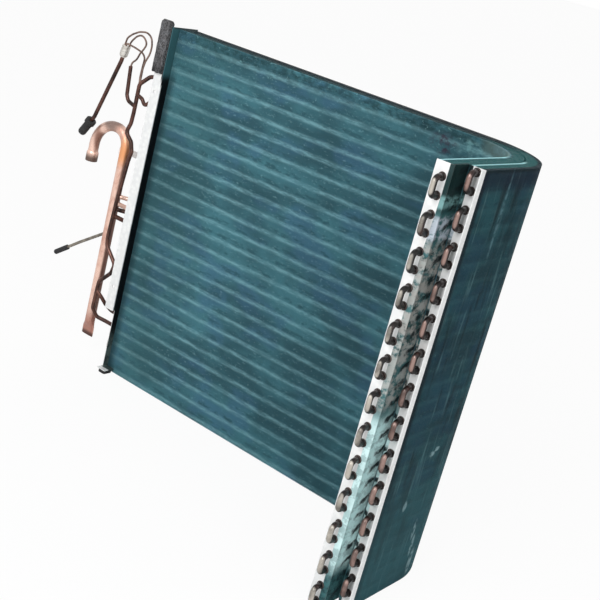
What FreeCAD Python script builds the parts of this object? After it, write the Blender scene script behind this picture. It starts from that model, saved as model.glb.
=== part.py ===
import FreeCAD, Part
import math
import os

import Sketcher

Vector = FreeCAD.Vector
Rotation = FreeCAD.Rotation
Placement = FreeCAD.Placement

# Condenser coil of two nested fin slabs, each with one row of tubes, bent to an L.
# The long leg runs along X and the short leg along Y, away from the header end at low X.
# Before the last step the corner of the inner slab at the header end is the zero point.

doc = FreeCAD.newDocument("condenser_coil")
sheet = doc.addObject("Spreadsheet::Sheet", "sizes")


class Size:
    """A number together with the sheet expression that gives it."""

    def __init__(self, text, number):
        self.text = text
        self.number = number

    def joined(self, sign, other, number):
        return Size("(%s %s %s)" % (self.text, sign, words(other)), number)

    def __float__(self):
        return float(self.number)

    def __add__(self, other):
        return self.joined("+", other, self.number + float(other))

    def __radd__(self, other):
        return self + other

    def __sub__(self, other):
        return self.joined("-", other, self.number - float(other))

    def __rsub__(self, other):
        return self * -1 + other

    def __mul__(self, other):
        return self.joined("*", other, self.number * float(other))

    def __rmul__(self, other):
        return self * other

    def __truediv__(self, other):
        return self.joined("/", other, self.number / float(other))

    def __neg__(self):
        return self * -1


def words(value):
    """The expression for a size, or the plain number."""
    if isinstance(value, Size):
        return value.text
    return "(%.9f)" % value


driving_sizes = {
    # Fins and tubes
    "tube_pitch": 21.0,  # height from one tube of a row to the next
    "hairpins": 13,  # hairpin tubes in each row
    "tube_radius": 3.5,  # outside radius of the fin tubes
    "fin_depth": 19.0,  # depth of one fin slab
    "slab_gap": 2.0,  # gap between the two slabs
    "long_leg": 510.0,  # straight part of the long leg
    "corner_radius": 75.0,  # inside radius of the L corner
    "short_leg": 142.0,  # straight part of the inner slab's short leg
    "fin_pitch": 6.5,  # one modelled fin to the next, each standing for several thin ones
    "fin_gap": 4.6,  # open gap between two modelled fins
    "gap_depth": 3.0,  # depth of the gaps
    "gap_margin": 1.0,  # reach of a gap's cut past the fins' edge
    "bend_lead": 2.5,  # straight lead of a bend outside its plate
    # End plates
    "plate": 1.2,  # thickness of the end plates
    "inner_strip": 22.5,  # width of the inner slab's end plate
    "inner_strip_edge": 2.0,  # reach of that plate past the fins' inner side
    "outer_fold": 9.0,  # width of the outer end plate's folded edge
    "plate_rise": 2.0,  # height of the header end plate above the fins
    "lip": 14.5,  # reach of the header end plate in front of the fins
    "low_lip": 9.0,  # the same reach below the flange
    "flange_width": 17.0,  # width of the front flange
    "flange_bottom": 102.0,  # height of the flange's lower end
    "screw_radius": 2.5,  # radius of the flange's screw holes
    "screw_inset": 9.0,  # screw holes from the fins' end
    "lower_screw": 140.0,  # height of the lower screw hole
    "screw_spacing": 310.0,  # height between the screw holes
    "fold_radius": 1.6,  # outside radius of a folded edge
    # Foot under the header end
    "foot_height": 6.0,  # height of the rubber foot
    "foot_length": 14.0,  # length of the foot along the coil
    "foot_width": 17.0,  # width of the foot
    "foot_rounding": 3.0,  # rounding of the foot's corners
    "foot_border": 1.0,  # tab left round the foot
    "foot_clearance": 1.0,  # tab to the fins' face
    # Foam pad at the top of the flange
    "pad_height": 80.0,  # height of the foam pad
    "pad_rise": 8.0,  # foam above the flange
    "pad_front": 5.5,  # foam in front of the flange
    "pad_back": 4.3,  # foam behind the flange
    "pad_side": 6.0,  # foam beside the flange
    "pad_clearance": 0.3,  # foam to the sheet all round
    "pad_rounding": 4.0,  # rounding of the foam
    # Gas header
    "header_out": 65.0,  # header axis from the fins' end
    "header_radius": 8.0,  # outside radius of the header tube
    "header_wall": 1.0,  # wall of the header tube
    "header_foot": 31.0,  # height of the pinched lower end
    "pinch_height": 13.0,  # height of the pinched flat
    "pinch_taper": 12.0,  # height over which the tube flattens
    "pinch_reach": 12.5,  # half width of the pinched flat
    "pinch_half": 1.6,  # half thickness of the pinched flat
    "arch_span": 67.0,  # header axis to the open arm's axis
    "arch_near": 25.0,  # radius of the arch above the header
    "arch_far": 40.0,  # radius of the arch above the open arm
    "mouth_height": 303.0,  # height of the open mouth
    "arch_rise": 67.0,  # the arch's centre line above the open mouth
    "socket_radius": 9.5,  # outside radius of the swaged socket
    "socket_bore": 8.0,  # bore radius of the swaged socket
    "socket_depth": 14.0,  # depth of the swaged socket
    "socket_step": 2.0,  # taper from the socket to the tube
    # Clip that carries the header from the end plate
    "clip_drop": 6.0,  # the clip's middle below the arch's start
    "clip_height": 10.0,  # height of the clip strip
    "clip_foot": 8.0,  # length of the clip's foot on the plate
    "clip_sheet": 1.2,  # thickness of the clip
    # Small pipes
    "line_radius": 3.175,  # radius of the liquid line and its branches
    "line_front": 4.0,  # liquid line's axis in front of the fins
    "line_out": 51.0,  # liquid line's axis from the fins' end
    "branch_radius": 3.0,  # radius of the pipes that join the liquid line
    "capillary_radius": 1.4,  # radius of a capillary
    "capillary_spread": 4.0,  # capillary's hole from the distributor's axis
    "distributor_radius": 6.5,  # radius of the distributor
    "distributor_length": 19.0,  # length of the distributor
    "distributor_bevel": 2.0,  # bevel at the distributor's inlet end
    "process_radius": 2.5,  # radius of the process tube
    "process_level": 207.7,  # height at which the process tube joins the header
    "stub_knee": 29.25,  # bend of an outer gas stub from the fins' end
    "upper_lead": 21.6,  # straight lead of the liquid line's upper end from the fins' end
    "upper_branch_lead": 15.6,  # the same for the upper branch
    "lower_lead": 30.0,  # the same for the liquid line's lower end
    "lower_branch_lead": 24.0,  # the same for the lower branch
    # Rubber caps
    "cap_depth": 14.0,  # depth of pipe inside a cap
    "cap_clearance": 0.3,  # cap to pipe
    "cap_setback": 1.0,  # the inlet cap's mouth before the pipe's last bend
    "cap_collar": 8.0,  # length of the inlet cap's collar
    "cap_collar_radius": 8.5,  # radius of the inlet cap's collar
    "inlet_cap_radius": 6.5,  # radius of the inlet cap
    "inlet_cap_length": 32.0,  # length of the inlet cap
    "process_cap_radius": 4.2,  # radius of the process tube's cap
    "process_cap_length": 33.0,  # length of the process tube's cap
}


class Sizes:
    """The driving sizes by name, each tied to its cell of the sheet."""


size = Sizes()
for row, (name, number) in enumerate(driving_sizes.items(), start=1):
    sheet.set("A%d" % row, name.replace("_", " "))
    sheet.set("B%d" % row, str(number))
    sheet.setAlias("B%d" % row, name)
    setattr(size, name, Size("sizes." + name, number))
doc.recompute()

# Places that follow from the driving sizes
tubes_per_row = size.hairpins * 2
fin_height = size.tube_pitch * tubes_per_row
row_spacing = size.fin_depth + size.slab_gap
row_stagger = size.tube_pitch / 2
inner_row_depth = size.fin_depth / 2
outer_row_depth = inner_row_depth + row_spacing
coil_depth = size.fin_depth + row_spacing
corner_x = size.long_leg
corner_y = -size.corner_radius
inner_end = size.short_leg + size.corner_radius
# Both slabs hold tubes of one length, so the outer one stops short by a quarter turn's excess.
outer_end = inner_end - row_spacing * (math.pi / 2)
inner_row_x = corner_x + size.corner_radius + inner_row_depth
outer_row_x = inner_row_x + row_spacing
plate_top = fin_height + size.plate_rise
header_x = -size.header_out
arch_top = size.mouth_height + size.arch_rise
clip_level = arch_top - size.arch_near - size.clip_drop
foot_back = -size.foot_clearance - size.foot_border * 2
hairpin_count = int(size.hairpins.number)
middle_feed = (hairpin_count - 2) // 2
lower_feed = 1
upper_feed = hairpin_count - 3


def inner_tube(number):
    """Height of a tube of the inner row, counted from the bottom."""
    return size.tube_pitch * (number + 0.25)


def outer_tube(number):
    """Height of a tube of the outer row, counted from the bottom."""
    return inner_tube(number) + row_stagger


# Drawing and feature helpers

pieces = []
movable = []


def new_body(label):
    """Start a body for one sub-part."""
    body = doc.addObject("PartDesign::Body", label)
    body.Label = label
    body.AllowCompound = True
    pieces.append(body)
    movable.append(body)
    return body


def origin_feature(body, role):
    """An origin plane or axis of a body, found by its role."""
    return [feature for feature in body.Origin.OriginFeatures if feature.Role == role][0]


def drawing_on(body, role, name, offset=0):
    """A sketch on one of the body's origin planes, moved along its normal."""
    drawing = body.newObject("Sketcher::SketchObject", body.Name + "_" + name)
    drawing.AttachmentSupport = [(origin_feature(body, role), "")]
    drawing.MapMode = "FlatFace"
    drawing.AttachmentOffset = Placement(Vector(0, 0, float(offset)), Rotation())
    drawing.setExpression("AttachmentOffset.Base.z", words(offset))
    return drawing


def fix_point(drawing, geometry, end, point):
    """Fix one end of a line, or a circle's centre, at a place given by the sizes."""
    for kind, value in (("DistanceX", point[0]), ("DistanceY", point[1])):
        constraint = Sketcher.Constraint(kind, -1, 1, geometry, end, float(value))
        index = drawing.addConstraint(constraint)
        drawing.setExpression("Constraints[%d]" % index, words(value))


def flat(point):
    """A drawing point as a vector."""
    return Vector(float(point[0]), float(point[1]), 0)


def draw_polygon(drawing, points, closed=True):
    """Straight edges through the points, each corner tied to the sheet."""
    ends = points[1:] + points[:1] if closed else points[1:]
    edges = [Part.LineSegment(flat(a), flat(b)) for a, b in zip(points, ends)]
    drawing.addGeometry(edges, False)
    for index in range(len(edges) - 1):
        drawing.addConstraint(Sketcher.Constraint("Coincident", index, 2, index + 1, 1))
    if closed:
        drawing.addConstraint(Sketcher.Constraint("Coincident", len(edges) - 1, 2, 0, 1))
    for index in range(len(edges)):
        fix_point(drawing, index, 1, points[index])
    if not closed:
        fix_point(drawing, len(edges) - 1, 2, points[-1])


def draw_rectangle(drawing, low, high):
    """A rectangle between two opposite corners."""
    draw_polygon(drawing, [low, (high[0], low[1]), high, (low[0], high[1])])


def ring_points(centre, radius, sides):
    """Corners of a many-sided ring that stands on a flat, for a section or a turned form."""
    corners = []
    for index in range(sides):
        angle = 2 * math.pi * (index + 0.5) / sides
        corners.append((centre[0] + radius * math.cos(angle), centre[1] + radius * math.sin(angle)))
    return corners


def turn_points(centre, radius, first_angle, last_angle, steps):
    """Corners of straight steps that touch an arc at both its ends, angles in degrees."""
    step = math.radians(last_angle - first_angle) / steps
    reach = radius / math.cos(step / 2)
    corners = []
    for index in range(steps):
        angle = math.radians(first_angle) + step * (index + 0.5)
        corners.append((centre[0] + reach * math.cos(angle), centre[1] + reach * math.sin(angle)))
    return corners


def draw_circle(drawing, centre, radius):
    """A circle tied to the sheet."""
    circle = Part.Circle(flat(centre), Vector(0, 0, 1), float(radius))
    geometry = drawing.addGeometry(circle, False)
    fix_point(drawing, geometry, 3, centre)
    index = drawing.addConstraint(Sketcher.Constraint("Radius", geometry, float(radius)))
    drawing.setExpression("Constraints[%d]" % index, words(radius))


def pad(body, drawing, length, reversed_way=False):
    """A pad of a drawing, its length tied to the sheet."""
    feature = body.newObject("PartDesign::Pad", drawing.Name + "_pad")
    feature.Profile = (drawing, [""])
    feature.Length = float(length)
    feature.setExpression("Length", words(length))
    feature.Reversed = reversed_way
    doc.recompute()
    return feature


def pocket(body, drawing, length, reversed_way=False):
    """A pocket of a drawing, which has to take material away."""
    before = body.Shape.Volume
    feature = body.newObject("PartDesign::Pocket", drawing.Name + "_pocket")
    feature.Profile = (drawing, [""])
    feature.Length = float(length)
    feature.setExpression("Length", words(length))
    feature.Reversed = reversed_way
    doc.recompute()
    if body.Shape.Volume >= before:
        raise RuntimeError(feature.Name + " takes nothing away")
    return feature


def pipe(body, kind, section, path, transition="Transformed"):
    """A section drawing carried along a path drawing, added or taken away."""
    doc.recompute()
    feature = body.newObject("PartDesign::" + kind, section.Name + "_pipe")
    feature.Profile = (section, [""])
    edges = ["Edge%d" % (index + 1) for index in range(len(path.Shape.Edges))]
    feature.Spine = (path, edges)
    feature.Transition = transition
    doc.recompute()
    return feature


def repeat_along(body, feature, direction, count, length):
    """Repeat a feature in equal steps over a length, along a drawing's or the body's axis."""
    pattern = body.newObject("PartDesign::LinearPattern", feature.Name + "_row")
    pattern.Originals = [feature]
    pattern.Direction = direction
    pattern.Length = float(length)
    pattern.setExpression("Length", words(length))
    pattern.Occurrences = int(float(count))
    pattern.setExpression("Occurrences", words(count))
    body.Tip = pattern
    doc.recompute()
    return pattern


def repeat_round(body, feature, drawing, count, angle):
    """Repeat a feature clockwise about its drawing's zero point, in equal steps over an angle."""
    pattern = body.newObject("PartDesign::PolarPattern", feature.Name + "_fan")
    pattern.Originals = [feature]
    pattern.Axis = (drawing, ["N_Axis"])
    pattern.Reversed = True
    pattern.Angle = angle
    pattern.Occurrences = count
    body.Tip = pattern
    doc.recompute()
    return pattern


def edges_where(shape, test):
    """Names of the straight edges whose middle point and direction pass a test."""
    names = []
    for index, edge in enumerate(shape.Edges):
        start, end = edge.Vertexes[0].Point, edge.Vertexes[-1].Point
        if test((start + end) * 0.5, near(start.x, end.x) and near(start.y, end.y)):
            names.append("Edge%d" % (index + 1))
    return names


def dress_edges(body, kind, base, names, amount):
    """Fillet or chamfer the named edges of the last feature."""
    feature = body.newObject("PartDesign::" + kind, base.Name + "_dressed")
    feature.Base = (base, names)
    setting = "Radius" if kind == "Fillet" else "Size"
    setattr(feature, setting, float(amount))
    feature.setExpression(setting, words(amount))
    doc.recompute()
    return feature


def many_sided(body, name, radius, length, sides):
    """Many-sided prism upwards on the body's Z axis."""
    ring = drawing_on(body, "XY_Plane", name)
    draw_polygon(ring, ring_points((0, 0), radius, sides))
    return pad(body, ring, length)


def bevel_end(body, base, height, amount):
    """Chamfer the rim that a form has at one height."""
    rim = edges_where(base.Shape, lambda middle, upright: near(middle.z, height))
    return dress_edges(body, "Chamfer", base, rim, amount)


def near(value, target):
    """Whether a coordinate lies on a size."""
    return abs(value - float(target)) < 0.01


# Fin slabs

CORNER_STEPS = 9


def whole(count):
    """A count without its fraction."""
    return Size("floor(%s)" % words(count), math.floor(float(count)))


def gap_drawing(body, name, centre, turn, near_edge, far_edge, first):
    """One gap between fins: its two ends, counted from a centre across the coil, and its start."""
    drawing = drawing_on(body, "XY_Plane", name)
    middle = Vector(float(centre[0]), float(centre[1]), 0)
    drawing.AttachmentOffset = Placement(middle, Rotation(Vector(0, 0, 1), turn))
    drawing.setExpression("AttachmentOffset.Base.x", words(centre[0]))
    drawing.setExpression("AttachmentOffset.Base.y", words(centre[1]))
    draw_rectangle(drawing, (first, near_edge), (first + size.fin_gap, far_edge))
    return drawing


def gaps_along(body, name, centre, turn, near_edge, far_edge, leg):
    """Gaps between the fins of one straight leg."""
    first = (size.fin_pitch - size.fin_gap) / 2
    drawing = gap_drawing(body, name, centre, turn, near_edge, far_edge, first)
    gap = pocket(body, drawing, fin_height, reversed_way=True)
    count = whole(leg / size.fin_pitch)
    repeat_along(body, gap, (drawing, ["H_Axis"]), count, size.fin_pitch * (count - 1))


def gaps_round(body, centre, near_edge, far_edge, gaps_per_step):
    """Gaps between the fins round the corner, spread evenly over its straight steps."""
    count = CORNER_STEPS * gaps_per_step
    step = 90 / count
    drawing = gap_drawing(
        body, "corner_gap", centre, -step / 2, near_edge, far_edge, size.fin_gap / -2)
    gap = pocket(body, drawing, fin_height, reversed_way=True)
    repeat_round(body, gap, drawing, count, 90 - step)


def fin_slab(label, inner_side, end, gaps_outside, gaps_per_step):
    """One fin block bent to the L, its open side cut into fins from end to end."""
    body = new_body(label)
    path = drawing_on(body, "XY_Plane", "bend_line")
    turn = size.corner_radius + inner_side
    corner = turn_points((corner_x, corner_y), turn, 90, 0, CORNER_STEPS)
    draw_polygon(path, [(0, inner_side)] + corner + [(corner_x + turn, -end)], closed=False)
    block = drawing_on(body, "YZ_Plane", "block")
    draw_rectangle(block, (inner_side, 0), (inner_side + size.fin_depth, fin_height))
    pipe(body, "AdditivePipe", block, path, "Right corner")
    if gaps_outside:
        near_edge = inner_side + size.fin_depth - size.gap_depth
        far_edge = inner_side + size.fin_depth + size.gap_margin
    else:
        near_edge = inner_side - size.gap_margin
        far_edge = inner_side + size.gap_depth
    gaps_along(body, "long_leg_gap", (0, 0), 0, near_edge, far_edge, size.long_leg)
    near_edge = size.corner_radius + near_edge
    far_edge = size.corner_radius + far_edge
    centre = (corner_x, corner_y)
    gaps_round(body, centre, near_edge, far_edge, gaps_per_step)
    gaps_along(
        body, "short_leg_gap", centre, -90, near_edge, far_edge, end - size.corner_radius)


# Tube bends

TURN_STEPS = 6
TUBE_SIDES = 8


def hairpin_bends(label, row_x, end, first_tube):
    """The half turns of one row's hairpins, standing out of the short leg's end plate."""
    body = new_body(label)
    face = end + size.plate
    section = drawing_on(body, "XZ_Plane", "section", face)
    draw_polygon(section, ring_points((row_x, first_tube), size.tube_radius, TUBE_SIDES))
    path = drawing_on(body, "YZ_Plane", "turn", row_x)
    middle = (-face - size.bend_lead, first_tube + row_stagger)
    turn = turn_points(middle, row_stagger, 270, 90, TURN_STEPS)
    corners = [(-face, first_tube)] + turn + [(-face, first_tube + size.tube_pitch)]
    draw_polygon(path, corners, closed=False)
    bend = pipe(body, "AdditivePipe", section, path, "Right corner")
    upward = (origin_feature(body, "Z_Axis"), [""])
    repeat_along(body, bend, upward, size.hairpins, size.tube_pitch * 2 * (size.hairpins - 1))


def tube_run(name, radius, points, sides=TUBE_SIDES):
    """A straight-sided tube mitred at each point of its route."""
    points = [Vector(float(x), float(y), float(z)) for x, y, z in points]
    route = doc.addObject("Part::Feature", name + "_route")
    route.Shape = Part.makePolygon(points)
    section = doc.addObject("Part::RegularPolygon", name + "_section")
    section.Polygon = sides
    section.Circumradius = float(radius)
    section.setExpression("Circumradius", words(radius))
    half_step = Rotation(Vector(0, 0, 1), 180 / sides)
    along = Rotation(Vector(0, 0, 1), points[1] - points[0])
    section.Placement = Placement(points[0], along * half_step)
    sweep = doc.addObject("Part::Sweep", name)
    sweep.Sections = [section]
    sweep.Spine = (route, [])
    sweep.Solid = True
    sweep.Transition = "Right corner"
    movable.append(route)
    movable.append(section)
    doc.recompute()
    return sweep


def as_piece(thing, label):
    """Keep an object as a sub-part under a label."""
    thing.Label = label
    pieces.append(thing)
    return thing


def trimmed(sweep, tool, label):
    """A tube cut back to the surface of the pipe that it joins."""
    cut = doc.addObject("Part::Cut", sweep.Name + "_trimmed")
    cut.Base = sweep
    cut.Tool = tool
    doc.recompute()
    return as_piece(cut, label)


def cross_bend(name, low, high):
    """A half turn outside the header end plate, from one tube end to another."""
    start = Vector(-float(size.plate), float(low[0]), float(low[1]))
    end = Vector(-float(size.plate), float(high[0]), float(high[1]))
    side = end - start
    across = Vector(side)
    across.normalize()
    points = [start]
    half = side.Length / 2
    for out, up in turn_points((-float(size.bend_lead), half), half, 270, 90, TURN_STEPS):
        points.append(start + Vector(out, 0, 0) + across * up)
    points.append(end)
    return tube_run(name, size.tube_radius, points)


def bend_group(label, ends):
    """Several bends of one kind, kept together as one sub-part."""
    group = doc.addObject("Part::Compound", label)
    bends = []
    for index, (low, high) in enumerate(ends):
        bends.append(cross_bend("%s_%d" % (label, index), low, high))
    group.Links = bends
    doc.recompute()
    as_piece(group, label)


def return_pairs(depth, height_of, open_places):
    """Tube pairs that a return bend joins, apart from the places where a circuit begins."""
    pairs = []
    for place in range(hairpin_count - 1):
        if place in open_places:
            continue
        low = 2 * place + 1
        pairs.append(((depth, height_of(low)), (depth, height_of(low + 1))))
    return pairs


# End plates

def inner_end_plate():
    """Flat strip on the end of the inner slab's short leg."""
    body = new_body("inner_end_plate")
    left = corner_x + size.corner_radius - size.inner_strip_edge
    outline = drawing_on(body, "XZ_Plane", "outline", inner_end)
    draw_rectangle(outline, (left, 0), (left + size.inner_strip, fin_height))
    pad(body, outline, size.plate)


def outer_end_plate():
    """Strip on the end of the outer slab's short leg, folded back along its outer edge."""
    body = new_body("outer_end_plate")
    left = corner_x + size.corner_radius + row_spacing
    right = left + size.fin_depth
    outline = drawing_on(body, "XZ_Plane", "outline", outer_end)
    draw_rectangle(outline, (left, 0), (right, fin_height))
    pad(body, outline, size.plate)
    fold = drawing_on(body, "YZ_Plane", "fold", right)
    draw_rectangle(fold, (-outer_end - size.outer_fold, 0), (-outer_end, fin_height))
    pad(body, fold, size.plate, reversed_way=True)


def header_end_plate():
    """Sheet across both slabs with a front lip, a flange with screw holes and a foot tab."""
    body = new_body("header_end_plate")
    outline = drawing_on(body, "YZ_Plane", "outline")
    draw_polygon(outline, [
        (-size.low_lip, 0), (coil_depth, 0), (coil_depth, plate_top),
        (-size.lip, plate_top), (-size.lip, size.flange_bottom), (-size.low_lip, size.flange_bottom)])
    pad(body, outline, size.plate, reversed_way=True)
    flange = drawing_on(body, "XZ_Plane", "flange", size.lip)
    draw_rectangle(flange, (-size.flange_width, size.flange_bottom), (0, plate_top))
    pad(body, flange, size.plate, reversed_way=True)
    tab = drawing_on(body, "XY_Plane", "tab", size.foot_height)
    tab_front = foot_back - size.foot_width - size.foot_border
    tab_end = size.foot_border + size.foot_length + size.foot_border
    draw_rectangle(tab, (-size.plate, tab_front), (tab_end, -size.foot_clearance))
    last = pad(body, tab, size.plate)
    fold = edges_where(
        last.Shape, lambda middle, upright: upright and near(middle.x, 0) and near(middle.y, -size.lip))
    dress_edges(body, "Fillet", last, fold, size.fold_radius)
    holes = drawing_on(body, "XZ_Plane", "screw_holes", size.lip)
    draw_circle(holes, (-size.screw_inset, size.lower_screw), size.screw_radius)
    draw_circle(holes, (-size.screw_inset, size.lower_screw + size.screw_spacing), size.screw_radius)
    pocket(body, holes, size.plate)


def foot_pad():
    """Rubber foot under the tab, level with the fins' lower edge."""
    body = new_body("foot_pad")
    base = drawing_on(body, "XY_Plane", "base")
    draw_rectangle(
        base, (size.foot_border, foot_back - size.foot_width),
        (size.foot_border + size.foot_length, foot_back))
    block = pad(body, base, size.foot_height)
    corners = edges_where(block.Shape, lambda middle, upright: upright)
    dress_edges(body, "Chamfer", block, corners, size.foot_rounding)


def seal_pad():
    """Foam folded over the upper end of the flange."""
    body = new_body("seal_pad")
    bottom = plate_top + size.pad_rise - size.pad_height
    left = -size.flange_width - size.pad_side
    right = -size.plate - size.pad_clearance
    front = -size.lip - size.pad_front
    back = -size.lip + size.plate + size.pad_back
    block = drawing_on(body, "XY_Plane", "block", bottom)
    draw_rectangle(block, (left, front), (right, back))
    foam = pad(body, block, size.pad_height)
    top = float(bottom + size.pad_height)
    outer = edges_where(
        foam.Shape,
        lambda middle, upright: near(middle.z, top) and not near(middle.x, right)
        or upright and near(middle.x, left) and near(middle.y, front))
    dress_edges(body, "Chamfer", foam, outer, size.pad_rounding)
    slot = drawing_on(body, "XY_Plane", "slot", bottom)
    draw_rectangle(
        slot, (-size.flange_width - size.pad_clearance, -size.lip - size.pad_clearance),
        (right, -size.lip + size.plate + size.pad_clearance))
    pocket(body, slot, size.pad_height - size.pad_rise + size.pad_clearance, reversed_way=True)


# Gas header

HEADER_SIDES = 16
ARCH_STEPS = 4
SWAGE_BEVEL = 0.9  # bevel behind the socket, as a share of its step over the tube


def flattened(centre, reach, half):
    """The header's section pressed to a thin oval, with the same number of corners."""
    ring = ring_points((0, 0), 1, HEADER_SIDES)
    return [(centre[0] + reach * across, centre[1] + half * deep) for across, deep in ring]


def gas_header():
    """Collecting tube, pinched shut below, arched over above to an open swaged socket."""
    body = new_body("gas_header")
    round_start = size.header_foot + size.pinch_height + size.pinch_taper
    open_x = header_x - size.arch_span
    near_centre = (header_x - size.arch_near, arch_top - size.arch_near)
    far_centre = (open_x + size.arch_far, arch_top - size.arch_far)
    arch = turn_points(near_centre, size.arch_near, 0, 90, ARCH_STEPS)
    arch += turn_points(far_centre, size.arch_far, 90, 180, ARCH_STEPS)
    path = drawing_on(body, "XZ_Plane", "arch", -inner_row_depth)
    draw_polygon(path, [(header_x, round_start)] + arch + [(open_x, size.mouth_height)], closed=False)
    centre = (header_x, inner_row_depth)
    outside = drawing_on(body, "XY_Plane", "outside", round_start)
    draw_polygon(outside, ring_points(centre, size.header_radius, HEADER_SIDES))
    pipe(body, "AdditivePipe", outside, path, "Right corner")
    low_ring = drawing_on(body, "XY_Plane", "low_ring", round_start)
    draw_polygon(low_ring, ring_points(centre, size.header_radius, HEADER_SIDES))
    pinch = drawing_on(body, "XY_Plane", "pinch", size.header_foot + size.pinch_height)
    draw_polygon(pinch, flattened(centre, size.pinch_reach, size.pinch_half))
    doc.recompute()
    taper = body.newObject("PartDesign::AdditiveLoft", "gas_header_taper")
    taper.Profile = (low_ring, [""])
    taper.Sections = [(pinch, [""])]
    taper.Ruled = True
    doc.recompute()
    blade = drawing_on(body, "XY_Plane", "blade", size.header_foot)
    draw_polygon(blade, flattened(centre, size.pinch_reach, size.pinch_half))
    pad(body, blade, size.pinch_height)
    mouth = (open_x, inner_row_depth)
    socket = drawing_on(body, "XY_Plane", "socket", size.mouth_height)
    draw_circle(socket, mouth, size.socket_radius)
    swage = pad(body, socket, size.socket_depth + size.socket_step)
    socket_top = size.mouth_height + size.socket_depth + size.socket_step
    rim = circles_at(swage.Shape, socket_top, size.socket_radius)
    dress_edges(body, "Chamfer", swage, rim, (size.socket_radius - size.header_radius) * SWAGE_BEVEL)
    bore = drawing_on(body, "XY_Plane", "socket_bore", size.mouth_height)
    draw_circle(bore, mouth, size.socket_bore)
    pocket(body, bore, size.socket_depth, reversed_way=True)
    inside = drawing_on(body, "XY_Plane", "inside", round_start)
    draw_polygon(inside, ring_points(centre, size.header_radius - size.header_wall, HEADER_SIDES))
    pipe(body, "SubtractivePipe", inside, path, "Right corner")


def circles_at(shape, height, radius):
    """Names of the circular edges of one radius at one height."""
    names = []
    for index, edge in enumerate(shape.Edges):
        curve = edge.Curve
        if curve.TypeId != "Part::GeomCircle":
            continue
        if near(curve.Radius, radius) and near(curve.Center.z, height):
            names.append("Edge%d" % (index + 1))
    return names


def header_core():
    """The space that the header tube fills, for cutting back what is brazed to it."""
    core = doc.addObject("Part::Prism", "header_core")
    core.Polygon = HEADER_SIDES
    core.Circumradius = float(size.header_radius)
    core.setExpression("Circumradius", words(size.header_radius))
    core.Height = float(fin_height)
    core.setExpression("Height", words(fin_height))
    half_step = Rotation(Vector(0, 0, 1), 180 / HEADER_SIDES)
    core.Placement = Placement(Vector(float(header_x), float(inner_row_depth), 0), half_step)
    movable.append(core)
    doc.recompute()
    return core


def gas_stub(label, depth, height, core):
    """Short tube from a fin tube's end to the header."""
    points = [(-size.plate, depth, height)]
    if float(depth) > float(inner_row_depth):
        points.append((-size.stub_knee, depth, height))
    points.append((header_x, inner_row_depth, height))
    trimmed(tube_run(label + "_run", size.tube_radius, points), core, label)


def header_clip():
    """Strip from the end plate, between the two rows of bends, hooked round the header."""
    body = new_body("header_clip")
    centre = (header_x, inner_row_depth)
    across_flats = math.cos(math.pi / HEADER_SIDES)
    first, last = HEADER_SIDES // 4, HEADER_SIDES * 11 // 16
    inside = ring_points(centre, size.header_radius, HEADER_SIDES)[first:last]
    clip_radius = size.header_radius + size.clip_sheet / across_flats
    outside = ring_points(centre, clip_radius, HEADER_SIDES)[first:last]
    low = inner_row_depth + size.header_radius * across_flats
    outline = drawing_on(body, "XY_Plane", "outline", clip_level - size.clip_height / 2)
    draw_polygon(outline, [
        (-size.plate, low), (-size.plate, low + size.clip_foot),
        (-size.plate - size.clip_sheet, low + size.clip_foot),
        (-size.plate - size.clip_sheet, low + size.clip_sheet)] + outside + inside[::-1])
    pad(body, outline, size.clip_height)


# Liquid side

def route(points):
    """Turn (out, front, level) triples into places: from the fins' end, its face and in tubes up."""
    places = []
    for out, front, level in points:
        places.append((-size.line_out - out, -size.line_front - front, size.tube_pitch * level))
    return places


def plate_end(number, lead):
    """A straight lead of pipe out of a tube of the inner row, plate end first."""
    height = inner_tube(number)
    return [(-size.plate, inner_row_depth, height), (-lead, inner_row_depth, height)]


def liquid_line():
    """Pipe from the upper feed down the front of the header to the lower feed."""
    bends = route([
        (-11, -8, 22.10), (0, 0, 21.40), (0, 0, 19.30), (1, 0, 18.50), (7, 0, 17.76),
        (-7, 0, 17.24), (-12, 0, 16.57), (-9, 0, 15.80), (-3, 0, 12.70), (0, 0, 9.86),
        (-2, 0, 9.14), (-26, 0, 8.05), (-22, 0, 7.29), (-1, 0, 6.24), (0, 0, 5.50),
        (1, 0, 4.05), (-5, -6, 3.40)])
    top = plate_end(2 * upper_feed + 2, size.upper_lead)
    bottom = plate_end(2 * lower_feed + 1, size.lower_lead)
    points = top + bends + bottom[::-1]
    return as_piece(tube_run("liquid_line", size.line_radius, points), "liquid_line")


def liquid_branches(line):
    """The two short pipes that join the second tube of each feed to the liquid line."""
    upper = route([(0, 0, 20.62), (-11, 0, 20.48), (-18, 0, 20.10), (-25, 0, 20.29), (-28, -6, 20.86)])
    upper += plate_end(2 * upper_feed + 1, size.upper_branch_lead)[::-1]
    trimmed(tube_run("upper_branch_run", size.branch_radius, upper), line, "liquid_branch_upper")
    lower = route([(0, 0, 5.50), (-10, -3, 5.10), (-16, -9, 4.60)])
    lower += plate_end(2 * lower_feed + 2, size.lower_branch_lead)[::-1]
    trimmed(tube_run("lower_branch_run", size.branch_radius, lower), line, "liquid_branch_lower")


TURNED_SIDES = 12
CAP_DOME = 0.4  # bevel at a cap's closed end, as a share of its radius
DISTRIBUTOR_FOOT = (45, 0, 22.79)
DISTRIBUTOR_LEAN = Vector(0.2, 0, 1).normalize()


def as_vector(place):
    """A place as a vector."""
    return Vector(float(place[0]), float(place[1]), float(place[2]))


def distributor():
    """Turned sleeve with a conical lower end that splits the liquid into capillaries."""
    body = new_body("distributor")
    sleeve = many_sided(body, "sleeve", size.distributor_radius, size.distributor_length, TURNED_SIDES)
    bevel_end(body, sleeve, 0, size.distributor_bevel)
    foot = as_vector(route([DISTRIBUTOR_FOOT])[0])
    body.Placement = Placement(foot, Rotation(Vector(0, 0, 1), DISTRIBUTOR_LEAN))
    return foot


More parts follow.
